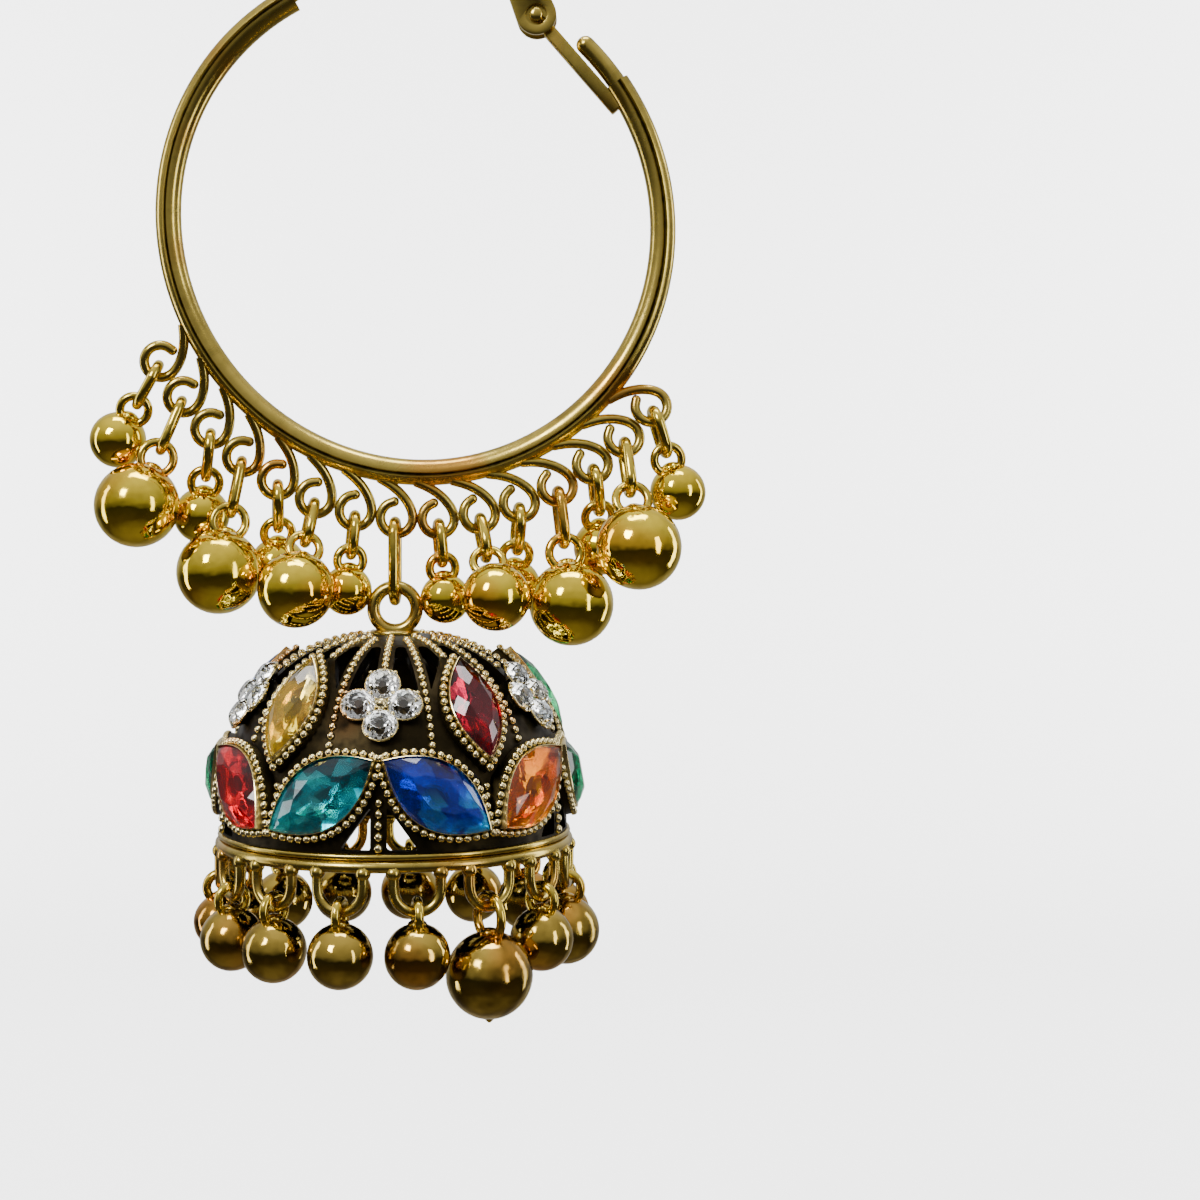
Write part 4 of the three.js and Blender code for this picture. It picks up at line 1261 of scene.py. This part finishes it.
def soft_light(name, place, target, size, power, mirrored=True):
    bpy.ops.object.light_add(type="AREA", location=place)
    lamp = bpy.context.object
    lamp.name = name
    lamp.data.shape = "RECTANGLE"
    lamp.data.size = size[0]
    lamp.data.size_y = size[1]
    lamp.data.energy = power
    lamp.rotation_euler = (Vector(target) - Vector(place)).to_track_quat("-Z", "Y").to_euler()
    lamp.visible_glossy = mirrored
    lamp.visible_camera = False
def make_studio(low):
    """A pale floor that curves up into a wall, soft lamps and a sky that is bright above."""
    bpy.ops.mesh.primitive_plane_add(size=1)
    floor = bpy.context.object
    floor.name = "floor"
    floor.data.transform(Matrix.Diagonal((*FLOOR_SIZE, 1, 1)))
    floor.data.transform(Matrix.Translation((0, -FLOOR_FORWARD, low - FLOOR_DROP * MM)))
    choose(floor)
    for edge in floor.data.edges:
        ends = [floor.data.vertices[i].co.y for i in edge.vertices]
        edge.select = min(ends) > 0
    for vertex in floor.data.vertices:
        vertex.select = vertex.co.y > 0
    bpy.ops.object.mode_set(mode="EDIT")
    bpy.ops.mesh.select_mode(type="EDGE")
    extrude(WALL_HEIGHT)
    bpy.ops.object.mode_set(mode="OBJECT")
    modified(floor, "BEVEL", width=COVE_RADIUS, segments=16)
    bpy.ops.object.shade_smooth()
    material, tree, shader = new_material("pale floor")
    feed(tree, shader, {"Base Color": (0.9, 0.9, 0.9, 1), "Roughness": 0.7})
    floor.data.materials.append(material)
    floor.visible_glossy = False
    floor.visible_diffuse = False
    middle = (0, 0, low / 2)
    soft_light("key", (-0.28, -0.42, 0.28), middle, (0.16, 0.2), 2.6)
    soft_light("fill", (0.45, -0.35, 0.0), middle, (0.1, 0.4), 0.7)
    soft_light("top", (0.0, 0.0, 0.42), middle, (0.3, 0.14), 1.6)
    soft_light("left strip", (-0.42, 0.02, -0.05), middle, (0.08, 0.5), 0.7)
    soft_light("right strip", (0.4, 0.15, -0.05), middle, (0.08, 0.5), 0.7)
    soft_light("backdrop left", (-0.7, 0.1, 0.2), (0, 0.6, 0), (0.5, 0.8), 33, mirrored=False)
    soft_light("backdrop right", (0.7, 0.1, 0.2), (0, 0.6, 0), (0.5, 0.8), 33, mirrored=False)
    world = bpy.data.worlds.new("studio")
    bpy.context.scene.world = world
    world.use_nodes = True
    tree = world.node_tree
    place = node(tree, "ShaderNodeTexCoord").outputs["Generated"]
    axes = node(tree, "ShaderNodeSeparateXYZ", {"Vector": place}).outputs
    lift = node(tree, "ShaderNodeMapRange", {"Value": axes["Z"], "From Min": -1}).outputs["Result"]
    sky = ramp(tree, lift, [
        (0.0, (0.22, 0.20, 0.17)),
        (0.2, (0.06, 0.05, 0.04)),
        (0.44, (0.03, 0.03, 0.03)),
        (0.56, (0.3, 0.3, 0.3)),
        (0.75, (0.5, 0.5, 0.5)),
        (1.0, (1.0, 1.0, 1.0)),
    ])
    behind = node(tree, "ShaderNodeMapRange", {
        "Value": axes["Y"], "From Min": 0.45, "From Max": 1, "To Max": 0.45,
    }).outputs["Result"]
    lit = node(tree, "ShaderNodeMix", {
        "Factor": 1, "A": sky, "B": behind,
    }, data_type="RGBA", blend_type="ADD").outputs["Result"]
    feed(tree, tree.nodes["Background"], {"Color": lit, "Strength": 1})


def make_camera(hoop_centre):
    """A level camera a little above the frame's middle, shifted down to it."""
    half = FRAME_PIXELS / 2
    right = (half - OVAL_CENTRE_PIXEL[0]) * PIXEL
    down = (half - OVAL_CENTRE_PIXEL[1]) * PIXEL
    aim = hoop_centre + Vector((right, 0, -down))
    place = aim + Vector((0, -CAMERA_DISTANCE, CAMERA_RISE))
    bpy.ops.object.camera_add(location=place * MM, rotation=(radians(90), 0, 0))
    camera = bpy.context.object
    width = FRAME_PIXELS * PIXEL
    camera.data.sensor_width = SENSOR_WIDTH
    camera.data.lens = SENSOR_WIDTH * CAMERA_DISTANCE / width
    camera.data.shift_y = -CAMERA_RISE / width
    camera.data.clip_start = 0.01
    camera.data.clip_end = 10
    bpy.context.scene.camera = camera


# The whole scene
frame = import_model()
cad_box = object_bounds()
bpy.ops.object.select_all(action="DESELECT")

joints = {joint["name"]: Vector(joint["pos_m"]) / MM for joint in frame["joints"]}
latch = joints["latch_hinge"]
hoop_centre = latch - PIVOT_FROM_CENTRE
hoop_place = Matrix.Translation(hoop_centre)
bail_top = DOME_HEIGHT - BAIL_SINK + BAIL_WIRE_RADIUS + 2 * BAIL_RADIUS
bail_rest = joints["dome_swing"].z + PENDANT_LINK_WIRE_RADIUS + PLAY + BAIL_WIRE_RADIUS
dome_place = Matrix.Translation((joints["dome_swing"].x, 0, bail_rest - bail_top))

make_camera(hoop_centre)
make_studio(cad_box[0].z)

antique = antique_group()
metals = {name: antique_material(name, antique, *row) for name, row in METALS.items()}
glasses = {slot: glass_material(slot.replace("_", " "), *row) for slot, row in GLASS.items()}
foil = foil_material()
crystal = crystal_material()

make_hoop(hoop_place, metals["aged gold"])
make_lever(latch, metals["aged gold"])
make_hoop_drops(hoop_place, metals["ball gold"], metals["bright wire"])
make_pendant_link(joints["dome_swing"], metals["bright wire"])
make_dome(dome_place, metals["bead gold"], metals["oxidised gold"], foil)
make_rim(dome_place, metals["aged gold"])
make_stones(dome_place, glasses)
make_clusters(dome_place, metals["bead gold"], crystal, foil)
make_rim_drops(dome_place, metals["brown gold"], metals["bright wire"])
